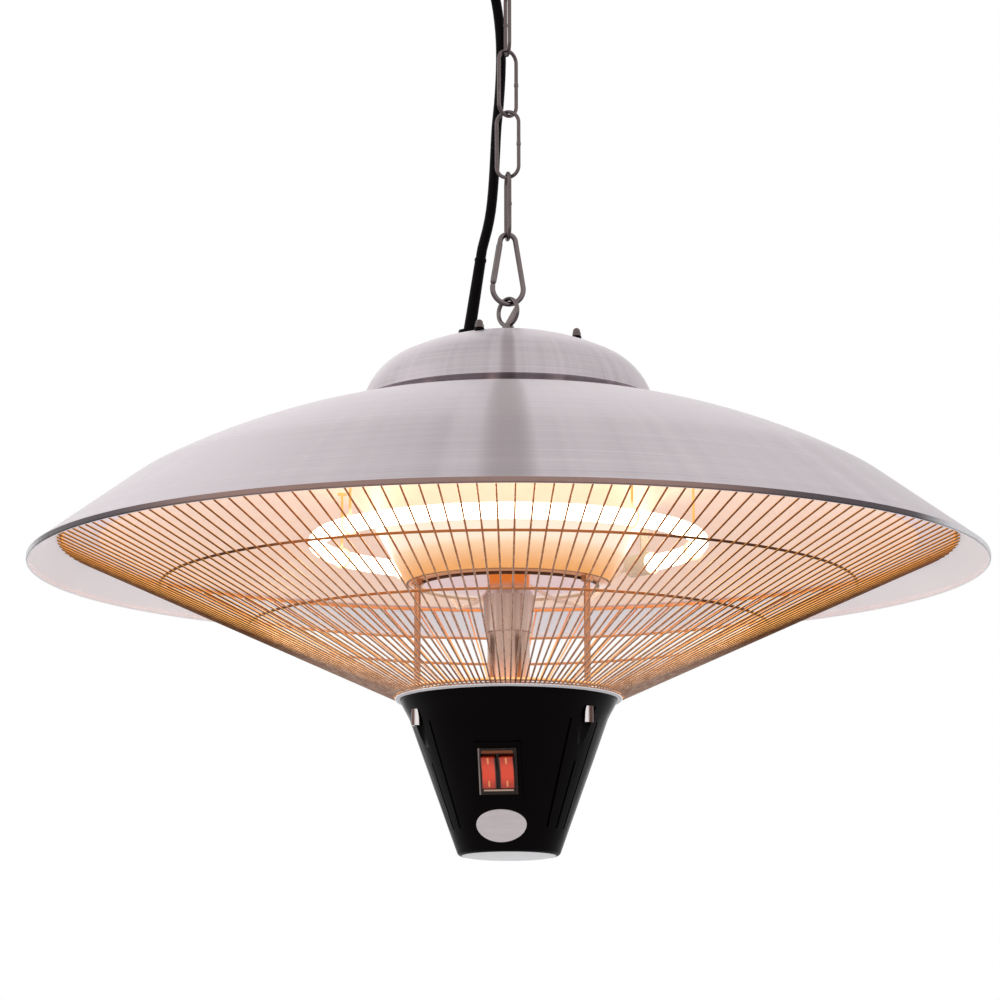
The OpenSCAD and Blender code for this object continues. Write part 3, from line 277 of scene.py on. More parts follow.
# %% The free stretch of the cord
CORD = 0.0065
BOOT_TOP = Vector((-0.0188, 0.0106, -0.301))
BOOT_TILT, BOOT_TURN, BOOT_LENGTH = math.radians(9), math.radians(-6), 0.050
boot_way = Vector((
    math.sin(BOOT_TILT) * math.cos(BOOT_TURN),
    math.sin(BOOT_TILT) * math.sin(BOOT_TURN),
    math.cos(BOOT_TILT),
))
rising = [BOOT_TOP, BOOT_TOP + CORD * boot_way] + [Vector(p) / 1000 for p in (
    (-14.6, 11, -282), (-12.4, 11.4, -270), (-11, 11.6, -256), (-10.1, 11.7, -242),
    (-9.4, 11.7, -228), (-8.6, 11.6, -214), (-7.2, 11.7, -200), (-6.3, 11.8, -186),
    (-5.8, 11.9, -172), (-6, 12, -158), (-7, 12, -145), (-8.8, 12, -132),
    (-11.8, 11.7, -119), (-15.2, 11.2, -107), (-17.8, 10.8, -96), (-18.9, 10.65, -88),
)]
print("free stretch:", len(rising), "points")

# %% [markdown]
# ## The spare cord's coil
# Spare cord is wound by hand into a flat coil: the turns spiral inwards, step over to the
# next layer and spiral out again. One rule gives the place of any point from the number of
# turns before it, so the four layers need no list of points.

# %% A point of the coil
COIL_MIDDLE = Vector((-0.059, 0, -0.081))
COIL_TURNS, COIL_LAYERS, COIL_PITCH, COIL_RADIUS = 7.25, 4, 0.0071, 0.0401
LAYER_STEP = 0.5               # turns over which the cord moves on to the next layer
TURN_POINTS = 24
layer_turns = COIL_TURNS / COIL_LAYERS


def coil_point(turn_count):
    layer = min(COIL_LAYERS - 1, int(turn_count / layer_turns))
    part = turn_count - layer * layer_turns
    inward = part if layer % 2 == 0 else layer_turns - part
    radius = COIL_RADIUS - COIL_PITCH * inward
    climbed = 0.0
    for k in range(1, COIL_LAYERS):
        t = min(1.0, max(0.0, (turn_count - k * layer_turns) / LAYER_STEP + 0.5))
        climbed += t * t * (3 - 2 * t)
    angle = FULL_TURN * turn_count
    depth = COIL_PITCH * ((COIL_LAYERS - 1) / 2 - climbed)
    return COIL_MIDDLE + Vector((radius * math.cos(angle), depth, radius * math.sin(angle)))


coiled = [coil_point(i / TURN_POINTS) for i in range(int(COIL_TURNS * TURN_POINTS) + 1)]
print("coil:", COIL_TURNS, "turns in", COIL_LAYERS, "layers,", len(coiled), "points")

# %% [markdown]
# ## The tail to the plug
# After its last turn the cord runs out of the coil, turns down and ends in the plug. A short
# straight run and a quarter circle are enough for that, and the tube's own rounding hides
# where one passes into the other.

# %% The tail
TAIL_RUN, TAIL_RADIUS = 0.031, 0.026
tail = [
    coiled[-1] + Vector((
        -TAIL_RUN - TAIL_RADIUS * math.sin(a), 0, TAIL_RADIUS * (math.cos(a) - 1)))
    for a in (math.radians(15 * i) for i in range(7))
]
tail.append(coiled[-1] + Vector((-TAIL_RUN - TAIL_RADIUS, 0, -TAIL_RADIUS - CORD)))
route = rising + coiled + tail
print("route:", len(route), "points")

# %% [markdown]
# ## The cord as a tube
# A curve with a round bevel is the usual way to draw a cord, and here that curve is turned into a
# mesh. A Catmull-Rom curve rounds the corners between the route's points.


# %% Round the route's corners
def smoothed(points, steps):
    out = []
    for i in range(len(points) - 1):
        a, b = points[max(0, i - 1)], points[i]
        c, d = points[i + 1], points[min(len(points) - 1, i + 2)]
        for k in range(steps):
            t = k / steps
            out.append(0.5 * (
                2 * b + (c - a) * t + (2 * a - 5 * b + 4 * c - d) * t ** 2
                + (3 * b - 3 * c + d - a) * t ** 3
            ))
    return out + [points[-1]]


line = smoothed(route, 2)
cord_length = sum((b - a).length for a, b in zip(line, line[1:]))
print("cord:", round(cord_length, 3), "m along", len(line), "points")


# %% Sweep a round section along it
def swept(name, points, thickness):
    curve = bpy.data.curves.new(name, "CURVE")
    curve.dimensions = "3D"
    curve.bevel_depth = thickness / 2
    curve.bevel_resolution = 4
    curve.use_fill_caps = True
    spline = curve.splines.new("POLY")
    spline.points.add(len(points) - 1)
    for point, p in zip(spline.points, points):
        point.co = (*p, 1)
    guide = placed(name + "_line", curve)
    bpy.context.view_layer.update()
    scene_now = bpy.context.evaluated_depsgraph_get()
    mesh = bpy.data.meshes.new_from_object(guide.evaluated_get(scene_now))
    bpy.data.objects.remove(guide)
    mesh.name = name
    for face in mesh.polygons:
        face.use_smooth = True
    return placed(name, mesh)


mains_cord = swept("mains_cord", line, CORD)
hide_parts("power_cord", "cord_coil")
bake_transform(mains_cord)
print("cord tube:", len(mains_cord.data.polygons), "faces")

# %% [markdown]
# ## The strain relief
# A moulded sleeve grips the cord above the cap, so that it never bends sharply there. It is
# a turned shape: a short profile of an edge, spun once round its own axis, with a small lip
# near its tip where the cord leaves it. It is then leaned over to lie along the cord.

# %% Turn the sleeve and lean it along the cord
boot_place = (
    Matrix.Translation(BOOT_TOP) @ Matrix.Rotation(BOOT_TURN, 4, "Z")
    @ Matrix.Rotation(BOOT_TILT, 4, "Y") @ Matrix.Translation((0, 0, -BOOT_LENGTH)))
sleeve_profile = [
    (0, 0), (0.0040, 0), (0.0039, 0.003), (0.00365, 0.030), (0.0035, 0.0476),
    (0.0038, 0.0480), (0.0038, 0.0496), (0.0035, BOOT_LENGTH), (0, BOOT_LENGTH)]
strain_relief = spun("strain_relief", [(sleeve_profile, 40)], boot_place)
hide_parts("cord_boot")
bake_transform(strain_relief)
print("strain relief:", len(strain_relief.data.polygons), "faces")

# %% [markdown]
# ## Shader maths that reads like Python
# A node tree with forty nodes is hard to follow. One small class wraps an output socket and
# overloads the operators, so `glow * 0.5 + 0.2` adds its own Math nodes. A second class
# holds a node tree and adds any other node with one call.


# %% A socket that does arithmetic
class Value:
    """An output socket of a tree of nodes."""

    def __init__(self, tree, socket):
        self.tree, self.socket = tree, socket

    def maths(self, operation, first, second):
        return self.tree.node("Math", {"operation": operation}, {0: first, 1: second})

    def __add__(self, other):
        return self.maths("ADD", self, other)

    def __sub__(self, other):
        return self.maths("SUBTRACT", self, other)

    def __rsub__(self, other):
        return self.maths("SUBTRACT", other, self)

    def __mul__(self, other):
        return self.maths("MULTIPLY", self, other)

    def __pow__(self, other):
        return self.maths("POWER", self, other)

    def __abs__(self):
        return self.tree.node("Math", {"operation": "ABSOLUTE"}, {0: self})

    __radd__, __rmul__ = __add__, __mul__

    def rises(self, low, high, to_low=0.0, to_high=1.0):
        """Goes smoothly from one number to another while the value goes from low to high."""
        return self.tree.node(
            "MapRange", {"interpolation_type": "SMOOTHSTEP"},
            {"Value": self, "From Min": low, "From Max": high, "To Min": to_low, "To Max": to_high})

    def spread(self, to_low, to_high):
        """Spreads a noise over a range: most of it lies between 0.3 and 0.7."""
        return self.rises(0.3, 0.7, to_low, to_high)

    def beyond(self, near, far):
        """0 within near of zero, on either side, and 1 past far."""
        return (self * self).rises(near ** 2, far ** 2)

    def within(self, near, far):
        """1 within near of zero, on either side, and 0 past far."""
        return 1 - self.beyond(near, far)


# %% [markdown]
# ## A tree of nodes, and a finish
# The world and a material both hold a tree, so what they share is one class. A finish is a
# material with a Principled shader. It adds what the recipes below need often: a noise, the
# distance from the heater's axis, and the direction in which a surface faces.


# %% A tree that adds nodes
class Tree:
    """The nodes of a world or a material."""

    def __init__(self, owner):
        owner.use_nodes = True
        self.nodes, self.links = owner.node_tree.nodes, owner.node_tree.links

    def node(self, kind, settings, inputs, output=0):
        made = self.nodes.new("ShaderNode" + kind)
        for key, setting in settings.items():
            setattr(made, key, setting)
        for key, given in inputs.items():
            self.plug(made.inputs[key], given)
        return Value(self, made.outputs[output])

    def plug(self, socket, given):
        if isinstance(given, Value):
            self.links.new(given.socket, socket)
        else:
            socket.default_value = given


# %% A finish
class Finish(Tree):
    """A material with a Principled shader."""

    def __init__(self, name, **numbers):
        self.material = bpy.data.materials.new(name)
        super().__init__(self.material)
        self.shader = self.nodes["Principled BSDF"]
        self.coords = self.node("TexCoord", {}, {}, "Object")
        self.set(**numbers)

    def set(self, **given):
        for key, value in given.items():
            self.plug(self.shader.inputs[key.replace("_", " ")], value)

    def mix(self, amount, one, other):
        return self.node("Mix", {"data_type": "RGBA"}, {0: amount, 6: one, 7: other}, 2)

    def vectors(self, operation, *inputs, output=0):
        """A Vector Math node. The number that a length or a dot product gives is output 1."""
        return self.node("VectorMath", {"operation": operation}, dict(enumerate(inputs)), output)

    def noise(self, scale, detail=3.0, squeeze=None):
        """Squeeze holds a factor for each axis: below 1 it draws the pattern out instead."""
        where = self.vectors("MULTIPLY", self.coords, squeeze) if squeeze else self.coords
        return self.node("TexNoise", {}, {
            "Vector": where, "Scale": scale, "Detail": detail, "Roughness": 0.55})

    def split(self):
        return [self.node("SeparateXYZ", {}, {0: self.coords}, i) for i in range(3)]

    def radius(self):
        x, y, _ = self.split()
        return (x * x + y * y) ** 0.5

    def bearing(self):
        """The angle round the heater's axis, 0 at the front."""
        x, y, _ = self.split()
        return self.node("Math", {"operation": "ARCTAN2"}, {0: x, 1: 0 - y})

    def outward(self):
        """The level direction away from the heater's axis."""
        return self.vectors("NORMALIZE", self.vectors("MULTIPLY", self.coords, (1, 1, 0)))

    def facing(self, direction):
        """How squarely the surface faces a direction, from -1 to 1."""
        normal = self.node("NewGeometry", {}, {}, "Normal")
        return self.vectors("DOT_PRODUCT", direction, normal, output=1)

    def bump(self, height, depth, strength=1.0):
        self.set(Normal=self.node("Bump", {}, {
            "Height": height, "Distance": depth, "Strength": strength}))


# %% [markdown]
# ## Colours, and a count of nodes
# A colour read off a screen is encoded for the screen, and nodes work with the light itself.
# Blender's colour field turns a typed hex value back, but a script has to do it on its own.
# The second function tells how many nodes each finish took.


# %% Screen colours
def colour(*screen):
    """A screen colour, 0 to 255, as the linear light that nodes use."""
    linear = [((c / 255 + 0.055) / 1.055) ** 2.4 if c > 10 else c / 255 / 12.92 for c in screen]
    return (*linear, 1.0)


def tell(*finishes):
    print("finishes:", {f.material.name: len(f.nodes) for f in finishes}, "nodes")


print("a screen's middle grey is", round(colour(128, 128, 128)[0], 3), "of full light")


# %% [markdown]
# ## The floor
# A product photograph of this kind is taken in front of white paper. A bright floor near the
# object would do it too, but it would throw its light on the steel. So the floor lies well
# below, as under a heater that hangs at head height, and it is pure white only for the
# camera. To everything else it is plain pale paper.

# %% The floor
FLOOR_Z, FLOOR_HALF = -2.4, 30
floor_form = bmesh.new()
bmesh.ops.create_grid(
    floor_form, x_segments=1, y_segments=1, size=FLOOR_HALF,
    matrix=Matrix.Translation((0, 0, FLOOR_Z)))
floor = as_piece("floor", floor_form)

WHITE = (1, 1, 1, 1)
paper = Finish("paper_floor", Roughness=0.9)
paper.set(Base_Color=paper.mix(paper.noise(3.0), colour(238, 237, 236), colour(246, 245, 244)))
white_paper = paper.node("Emission", {}, {"Color": WHITE, "Strength": 1.0})
paper_seen = paper.node("MixShader", {}, {
    0: paper.node("LightPath", {}, {}, "Is Camera Ray"),
    1: Value(paper, paper.shader.outputs[0]), 2: white_paper})
paper.plug(paper.nodes["Material Output"].inputs["Surface"], paper_seen)
floor.data.materials.append(paper.material)
tell(paper)

# %% [markdown]
# ## The world behind everything
# The world lights the steel softly from all sides, in a pale grey. Light Path tells which
# kind of ray is asking, and for the camera, for reflections and for glass a Mix Shader picks
# pure white instead. A photograph of a studio as the background would give livelier
# reflections, but this object has to look right without any image.

# %% The world
SKY_GREY, SKY_STRENGTH = (0.80, 0.81, 0.84, 1), 0.72
world = bpy.data.worlds.new("studio")
bpy.context.scene.world = world
sky = Tree(world)
soft_light = sky.nodes["Background"]
sky.plug(soft_light.inputs["Color"], SKY_GREY)
sky.plug(soft_light.inputs["Strength"], SKY_STRENGTH)
seen, mirrored, through = (
    sky.node("LightPath", {}, {}, "Is %s Ray" % ray)
    for ray in ("Camera", "Glossy", "Transmission"))
white_here = sky.node("Math", {"operation": "ADD", "use_clamp": True}, {
    0: seen, 1: mirrored + through})
backdrop = sky.node("MixShader", {}, {
    0: white_here, 1: Value(sky, soft_light.outputs[0]),
    2: sky.node("Background", {}, {"Color": WHITE})})
sky.plug(sky.nodes["World Output"].inputs["Surface"], backdrop)
print("world:", len(sky.nodes), "nodes")

# %% [markdown]
# ## Studio lamps
# Three large soft boxes light the steel. The one behind the shade gives its two ends their
# bright edges, and the ones at the left and at the right only lift the dark sides a little.
# Area lamps are used because their size makes the broad, soft highlights that brushed steel
# shows in a studio.

# %% Lamps
AIM = Vector((0, 0, -0.45))


def softbox(name, spot, size, watts):
    light = bpy.data.lights.new(name, "AREA")
    light.shape = "RECTANGLE"
    light.size, light.size_y = size
    light.energy = watts
    facing_aim = (AIM - Vector(spot)).to_track_quat("-Z", "Y").to_matrix().to_4x4()
    placed(name, light).matrix_world = Matrix.Translation(spot) @ facing_aim


softbox("key_left", (-2.6, -0.6, 0.8), (2.2, 2.4), 6)
softbox("key_right", (2.2, -2.0, 1.0), (2.2, 2.2), 3)
softbox("top_back", (-0.7, 2.2, 1.3), (2.6, 2.0), 7.5)
print("lamps:", len(bpy.data.lights))

# %% [markdown]
# ## Spun and brushed steel
# The shade and cap are spun from sheet on a lathe and then brushed while they turn, so the marks
# run in rings. A noise read at the distance from the axis and the height, and hardly at all along
# the ring, gives those rings. A stretched image would do it too, but it would show a seam. The
# shader's anisotropy gives the broad soft streaks of light across them, and a noise round the axis
# paints more soft streaks of sheen into the colour. A darker band is painted down the front, a
# painted reflection of the dark room behind the camera.

# %% Brushed steel
FINE, BROAD = 900.0, 130.0     # rings to the metre, roughly
BAND_AT, BAND_CORE, BAND_EDGE = 0.13, 0.014, 0.067    # radians round the axis
shell = Finish("brushed_shell", Metallic=0.9, Anisotropic=0.6, Anisotropic_Rotation=0.25)
ring_at, bearing = shell.radius(), shell.bearing()
x, y, z = shell.split()
fine_spot = shell.node("CombineXYZ", {}, {0: ring_at * FINE, 1: z * FINE, 2: x * 6.0})
fine_rings = shell.node("TexNoise", {}, {"Vector": fine_spot, "Scale": 1.0, "Detail": 2.0})
broad_spot = shell.node("CombineXYZ", {}, {0: ring_at * BROAD, 1: z * BROAD, 2: y * 2.0})
broad_rings = shell.node("TexNoise", {}, {"Vector": broad_spot, "Scale": 1.0, "Detail": 3.0})
# Painted sheen: soft streaks round the axis, mixed into the brushing marks.
painted_sheen_streaks = shell.node("TexNoise", {"noise_dimensions": "1D"}, {"W": bearing * 3.0, "Detail": 2.0})
marks_and_sheen = (fine_rings * 0.45 + broad_rings * 0.25 + painted_sheen_streaks * 0.3).rises(0.25, 0.75)
brushed = shell.mix(marks_and_sheen, colour(178, 168, 173), colour(212, 203, 207))
# Painted reflection of the dark room: a darker band down the front.
painted_dark_reflection = shell.mix(marks_and_sheen, colour(154, 143, 146), colour(180, 169, 172))
shell.set(
    Base_Color=shell.mix((bearing - BAND_AT).beyond(BAND_CORE, BAND_EDGE), painted_dark_reflection, brushed),
    Roughness=marks_and_sheen.rises(0.2, 0.8, 0.36, 0.50))
shell.bump(fine_rings, 0.0003, 0.2)
tell(shell)

# %% [markdown]
# ## The shade's inside and its rolled hem
# Inside, the sheet is only rolled, not brushed, so it is paler and dull, and a painted glow stands
# in for the warm light of the lamp on it. The hem is a narrow roll round the rim, and its tints are
# painted light: brown in front, where the lamp lights it from below, a painted dark reflection in
# grey at the sides, and pale at its two ends, so its tint follows x.

# %% Inside and hem
WARM_ENDS, GREY_ENDS = (0.089, 0.212), (0.257, 0.283)    # distances to either side
inner = Finish("inner_shell", Metallic=0.35)
cast = inner.noise(9.0, 3.0)
# The emission is a painted glow in place of the lamp's light.
inner.set(
    Base_Color=inner.mix(cast, colour(230, 224, 227), colour(242, 239, 241)),
    Roughness=cast.spread(0.42, 0.56),
    Emission_Color=inner.mix(cast, colour(228, 216, 218), colour(238, 230, 232)),
    Emission_Strength=0.25)

hem = Finish("rolled_hem", Metallic=0.9)
rub = hem.noise(240.0, 3.0)
x, _, _ = hem.split()
# Painted light on the hem: lamp light in front, a dark reflection at the sides, pale at the ends.
painted_lamplit_hem = hem.mix(rub, colour(140, 112, 104), colour(166, 138, 130))
painted_dark_reflection_hem = hem.mix(rub, colour(70, 62, 66), colour(98, 90, 94))
painted_hem_light = hem.mix(x.beyond(*WARM_ENDS), painted_lamplit_hem, painted_dark_reflection_hem)
hem.set(
    Base_Color=hem.mix(x.beyond(*GREY_ENDS), painted_hem_light, colour(205, 203, 206)),
    Roughness=rub.spread(0.26, 0.42))
tell(inner, hem)

# %% [markdown]
# ## Painted reflections on the guard wire
# The guard's wires are polished steel. Painted reflections of the lamp-lit inside tint them straw
# towards the rim and bronze at the sides. A ramp on the distance from the lamp could do it, but the
# tints don't follow that distance, so one follows the radius and the other x.

# %% Guard wire
CLEAN_ENDS = (0.160, 0.215)    # radii
MIDDLE_ENDS = (0.084, 0.161)   # distances to either side
wire = Finish("guard_wire", Metallic=0.92)
x, y, _ = wire.split()
stain = wire.noise(220.0, 2.0).rises(0.35, 0.7)
# Painted reflections: bronze at the sides and straw towards the rim.
painted_side_reflection = wire.mix(stain, colour(104, 64, 36), colour(140, 90, 54))
painted_rim_reflection = wire.mix(stain, colour(176, 108, 62), colour(206, 140, 88))
clean = wire.mix(stain, colour(174, 138, 118), colour(206, 174, 156))
middle_wires = wire.mix(wire.radius().rises(*CLEAN_ENDS), clean, painted_rim_reflection)
wire.set(
    Base_Color=wire.mix(x.beyond(*MIDDLE_ENDS), middle_wires, painted_side_reflection),
    Roughness=wire.noise(600.0).spread(0.24, 0.36))
tell(wire)

# %% [markdown]
# ## The lamp's light on the wires
# The side of a wire that faces the ring lamp is lit by it, yellow close by and orange
# further off. The lamp alone could do that, but it would need many more samples. So the
# finish works out the nearest point of the ring, and the wire glows where it faces it.

# %% Light on the wires
LAMP_R, LAMP_Z = 0.120, RIM_Z + 0.0125
BLACK = (0, 0, 0, 1)
YELLOW_ENDS, LIGHT_FADES = (0.04, 0.15), (0.10, 0.26)    # distances from the lamp
GLOW_WIDENS = (0.063, 0.173)   # distances to either side
FAR_WIRES = (0.03, 0.09)       # along y
on_ring = wire.vectors("MULTIPLY", wire.outward(), (LAMP_R,) * 3)
on_ring = wire.vectors("ADD", on_ring, (0, 0, LAMP_Z))
to_lamp = wire.vectors("SUBTRACT", on_ring, wire.coords)
gap = wire.vectors("LENGTH", to_lamp, output=1)
towards = wire.facing(wire.vectors("NORMALIZE", to_lamp)) + x.beyond(*GLOW_WIDENS) * 0.25
lit = towards.rises(-0.10, 0.72) * (1 - gap.rises(*LIGHT_FADES) * 0.3)
far_light = wire.mix(y.rises(*FAR_WIRES), colour(250, 166, 78), colour(206, 124, 74))
lamp_light = wire.mix(gap.rises(*YELLOW_ENDS), colour(255, 190, 108), far_light)
wire.set(Emission_Color=wire.mix(lit, BLACK, lamp_light), Emission_Strength=1.0)
tell(wire)

# %% [markdown]
# ## The guard's inner hoops
# The two inner hoops are of thicker wire and a little darker. Right in front of the lamp they are
# painted copper, where the lamp lights them, and towards the sides a darker bronze, painted shade.
# The far half of each hoop is lit from the front, so it is painted paler than the near half, and a
# painted glow adds the lamp's light.

# %% Inner hoops
COPPER_ENDS = (0.078, 0.134)   # distances to either side
FAR_HALF = (0.0, 0.08)         # along y
hoop_steel = Finish("hoop_steel", Metallic=0.85, Roughness=0.3)
x, y, _ = hoop_steel.split()
tarnish = hoop_steel.noise(180.0, 2.0)
sideways, behind = x.beyond(*COPPER_ENDS), y.rises(*FAR_HALF)
# Painted light: copper in front of the lamp, dark shade at the sides, a pale far half.
painted_lamplit_copper = hoop_steel.mix(tarnish, colour(150, 96, 58), colour(186, 126, 82))
painted_dark_sides = hoop_steel.mix(tarnish, colour(72, 46, 32), colour(104, 70, 50))
side_glow = hoop_steel.mix(behind, BLACK, colour(190, 122, 76))
hoop_steel.set(
    Base_Color=hoop_steel.mix(
        behind, hoop_steel.mix(sideways, painted_lamplit_copper, painted_dark_sides), colour(214, 156, 114)),
    Emission_Color=hoop_steel.mix(sideways, colour(170, 96, 46), side_glow),
    Emission_Strength=0.28)
tell(hoop_steel)

# %% [markdown]
# ## Chrome and zinc
# The snap hook and the eye bolt are chromed, smooth and a little smeared. The chain and the
# ceiling hook are zinc plated, which is greyer and cloudy, with a fine grain that a bump of
# a few hundredths of a millimetre gives.

# %% Chrome and zinc
chrome = Finish("chrome", Metallic=1.0)
smear = chrome.noise(90.0, 4.0)
chrome.set(
    Base_Color=chrome.mix(smear, colour(98, 88, 88), colour(128, 118, 118)),
    Roughness=smear.spread(0.14, 0.26))

zinc = Finish("zinc", Metallic=1.0)
cloud = zinc.noise(160.0, 5.0)
zinc.set(
    Base_Color=zinc.mix(cloud, colour(86, 75, 74), colour(118, 107, 106)),
    Roughness=cloud.rises(0.25, 0.75, 0.20, 0.34))
zinc.bump(zinc.noise(900.0, 2.0), 0.00004, 0.4)
tell(chrome, zinc)

# %% [markdown]
# ## The satin column
# The column is drawn tube, so its fine marks run along it: a noise that is drawn out along
# z gives them. Two dark stripes below the collar are what the tube mirrors of the rods
# beside it. Its top and its foot take the lamp's orange light.

# %% Column
FRONT_STRIPE, SIDE_STRIPE = 0.6, -0.74      # radians round the axis
STRIPES_START, FOOT_STARTS = (0.042, 0.050), (0.056, 0.080)    # depths below the rim
TOP_ENDS = (0.012, 0.019)
satin = Finish("satin_column", Metallic=1.0)
drawn = satin.noise(90.0, 2.0, (1, 1, 0.04))
turn_at = satin.bearing()
_, _, z = satin.split()
drop = RIM_Z - z               # how far below the rim
front_stripe = (turn_at - FRONT_STRIPE).within(0.1, 0.212)
side_stripe = (turn_at - SIDE_STRIPE).within(0.1, 0.224)
stripe = (front_stripe + side_stripe) * drop.rises(*STRIPES_START) * 0.85
glow_foot = drop.rises(*FOOT_STARTS)
glow_top = 1 - drop.rises(*TOP_ENDS)
steel = satin.mix(drawn.rises(0.35, 0.65), colour(176, 152, 140), colour(212, 194, 186))
striped = satin.mix(stripe, steel, colour(84, 54, 40))
satin.set(
    Base_Color=satin.mix(glow_top, striped, colour(128, 70, 38)),
    Roughness=drawn.spread(0.16, 0.28),
    Emission_Color=satin.mix(glow_foot * 0.9 + glow_top, BLACK, colour(222, 118, 44)),
    Emission_Strength=0.75)
tell(satin)

# %% [markdown]
# ## Rods, bead and sleeves
# The rods behind the guard are bright steel in warm light. The base plate ends in a polished
# bead. The sleeve nuts in the housing's pockets are nickel plated: the side that faces
# straight out mirrors the dark part of the room and the flanks the white part, so their
# colour follows the direction in which they face.

# %% Rods, bead and sleeves
rod_steel = Finish("rod_steel", Metallic=0.85)
tint = rod_steel.noise(120.0, 3.0, (1, 1, 0.2))
rod_steel.set(
    Base_Color=rod_steel.mix(tint, colour(172, 120, 90), colour(206, 158, 128)),
    Roughness=tint.spread(0.26, 0.40))

bead = Finish("bright_bead", Metallic=1.0)
polish = bead.noise(50.0, 3.0)
bead.set(
    Base_Color=bead.mix(polish, colour(214, 209, 212), colour(242, 239, 241)),
    Roughness=polish.spread(0.10, 0.2))

OUTER_SIDE = (0.62, 0.90)      # how squarely a face points outwards
nickel = Finish("bright_sleeve", Metallic=1.0, Roughness=0.12)
outer = nickel.mix(nickel.noise(300.0), colour(70, 48, 44), colour(104, 80, 74))
nickel.set(Base_Color=nickel.mix(
    nickel.facing(nickel.outward()).rises(*OUTER_SIDE), colour(232, 224, 224), outer))
tell(rod_steel, bead, nickel)

# %% [markdown]
# ## The glowing lamp
# The lamp is a quartz tube with a wound tungsten filament. It is so bright that it looks
# white. A white material would look the same, but an Emission Strength well above 1 makes
# the tube a real light source, which lights the reflector and the guard round it.

# %% Lamp and filament
quartz = Finish("quartz_lamp", Roughness=0.12)
around = quartz.noise(140.0, 2.0)
quartz.set(
    Base_Color=quartz.mix(around, colour(255, 226, 170), colour(255, 240, 205)),
    Emission_Color=quartz.mix(around, colour(255, 232, 186), colour(255, 246, 222)),
    Emission_Strength=7.0)

tungsten = Finish("tungsten", Roughness=0.5)
turns = tungsten.noise(700.0, 1.0)
tungsten.set(
    Base_Color=tungsten.mix(turns, colour(255, 150, 60), colour(255, 190, 110)),
    Emission_Color=tungsten.mix(turns, colour(255, 170, 80), colour(255, 214, 150)),
    Emission_Strength=9.0)
tell(quartz, tungsten)

# %% [markdown]
# ## The reflector behind the lamp
# The reflector is hammered sheet with a fold round its central hole, along which a painted shadow
# runs. A displaced mesh could carry the dents, but they are so shallow that a bump shows them as
# well, for far fewer faces.

# %% Reflector
FOLD_R = 0.0632
mirror = Finish("lamp_reflector", Metallic=0.4, Roughness=0.36)
from_axis = mirror.radius()
hammer = mirror.noise(70.0, 3.0)
# Painted shadow along the fold.
painted_fold_shadow = (from_axis - FOLD_R).within(0.00032, 0.00089)
sheet_tone = mirror.mix(hammer, colour(142, 116, 100), colour(160, 134, 118))
mirror.set(Base_Color=mirror.mix(painted_fold_shadow, sheet_tone, colour(50, 30, 24)))
mirror.bump(hammer, 0.001, 0.2)
tell(mirror)

# %% [markdown]
# ## The reflector's glow
# Lit by the lamp, the sheet is cream near the tube, orange round the central hole and peach
# further out. It has a glow of its own that depends on how far a point lies from the tube
# and from the axis, so it keeps these colours in any light.

# %% Glow of the reflector
HOLE_R, FLARE_R = 0.0629, 0.0770
ORANGE_ENDS, CREAM_ENDS = (0.0635, 0.0765), (0.122, 0.148)    # radii
HALO_ENDS = (0.010, 0.030)     # distances from the tube
FRONT_TO_BACK = (-0.01, 0.02)  # along y
_, y, z = mirror.split()
out, up = from_axis - LAMP_R, z - LAMP_Z
reach = (out * out + up * up) ** 0.5
cream = mirror.mix(hammer, colour(255, 232, 196), colour(255, 240, 212))
peach = mirror.mix(hammer, colour(242, 208, 188), colour(250, 222, 206))
orange = mirror.mix(hammer, colour(228, 148, 58), colour(240, 166, 74))
# Painted light on the hole's edge: warm at the front, pale at the back.
rim_of_hole = mirror.mix(y.rises(*FRONT_TO_BACK), colour(196, 132, 96), colour(240, 226, 216))
glow = mirror.mix(from_axis.rises(*CREAM_ENDS), cream, peach)
glow = mirror.mix(1 - reach.rises(*HALO_ENDS), glow, colour(255, 246, 226))
glow = mirror.mix(1 - from_axis.rises(*ORANGE_ENDS), glow, orange)
# Painted highlight: a bright ring outside the fold.
flare = (from_axis - FLARE_R).within(0.0017, 0.0055)
glow = mirror.mix(flare * 0.85, glow, colour(255, 250, 236))
glow = mirror.mix(1 - from_axis.rises(HOLE_R - 0.0007, HOLE_R + 0.0007), glow, rim_of_hole)
# The painted fold shadow darkens the glow too.
mirror.set(Emission_Color=mirror.mix(painted_fold_shadow, glow, colour(60, 30, 20)), Emission_Strength=0.7)
tell(mirror)

# %% [markdown]
# ## Clips, leads and end holders
# Sprung wire clips hold the tube, and a painted glow stands in for the lamp's light on them,
# brightest where they touch it, so their colour depends on the distance from the ring. Glass fibre
# sleeves cover the leads: a wave texture drawn diagonally gives their weave, and a faint painted
# glow brightens them. The end holders are pale, slightly speckled ceramic.

# %% Lamp clips, sleeves and ceramic
gilt = Finish("lamp_clip_wire", Metallic=0.8, Roughness=0.3)
_, _, z = gilt.split()
out, up = gilt.radius() - LAMP_R, z - LAMP_Z
# Painted lamp light where a clip touches the tube.
painted_light_near_tube = ((out * out + up * up) ** 0.5).within(0.0071, 0.011)
heat = gilt.noise(200.0)
painted_warm_glow = gilt.mix(heat, colour(196, 136, 66), colour(222, 166, 96))
gilt.set(
    Base_Color=gilt.mix(heat, colour(206, 160, 96), colour(232, 190, 128)),
    Emission_Color=gilt.mix(painted_light_near_tube, painted_warm_glow, colour(255, 240, 206)),
    Emission_Strength=0.7)

sleeve = Finish("glass_sleeve", Roughness=0.75)
weave = sleeve.node("TexWave", {"bands_direction": "DIAGONAL"}, {
    "Vector": sleeve.coords, "Scale": 260.0, "Distortion": 0.6})
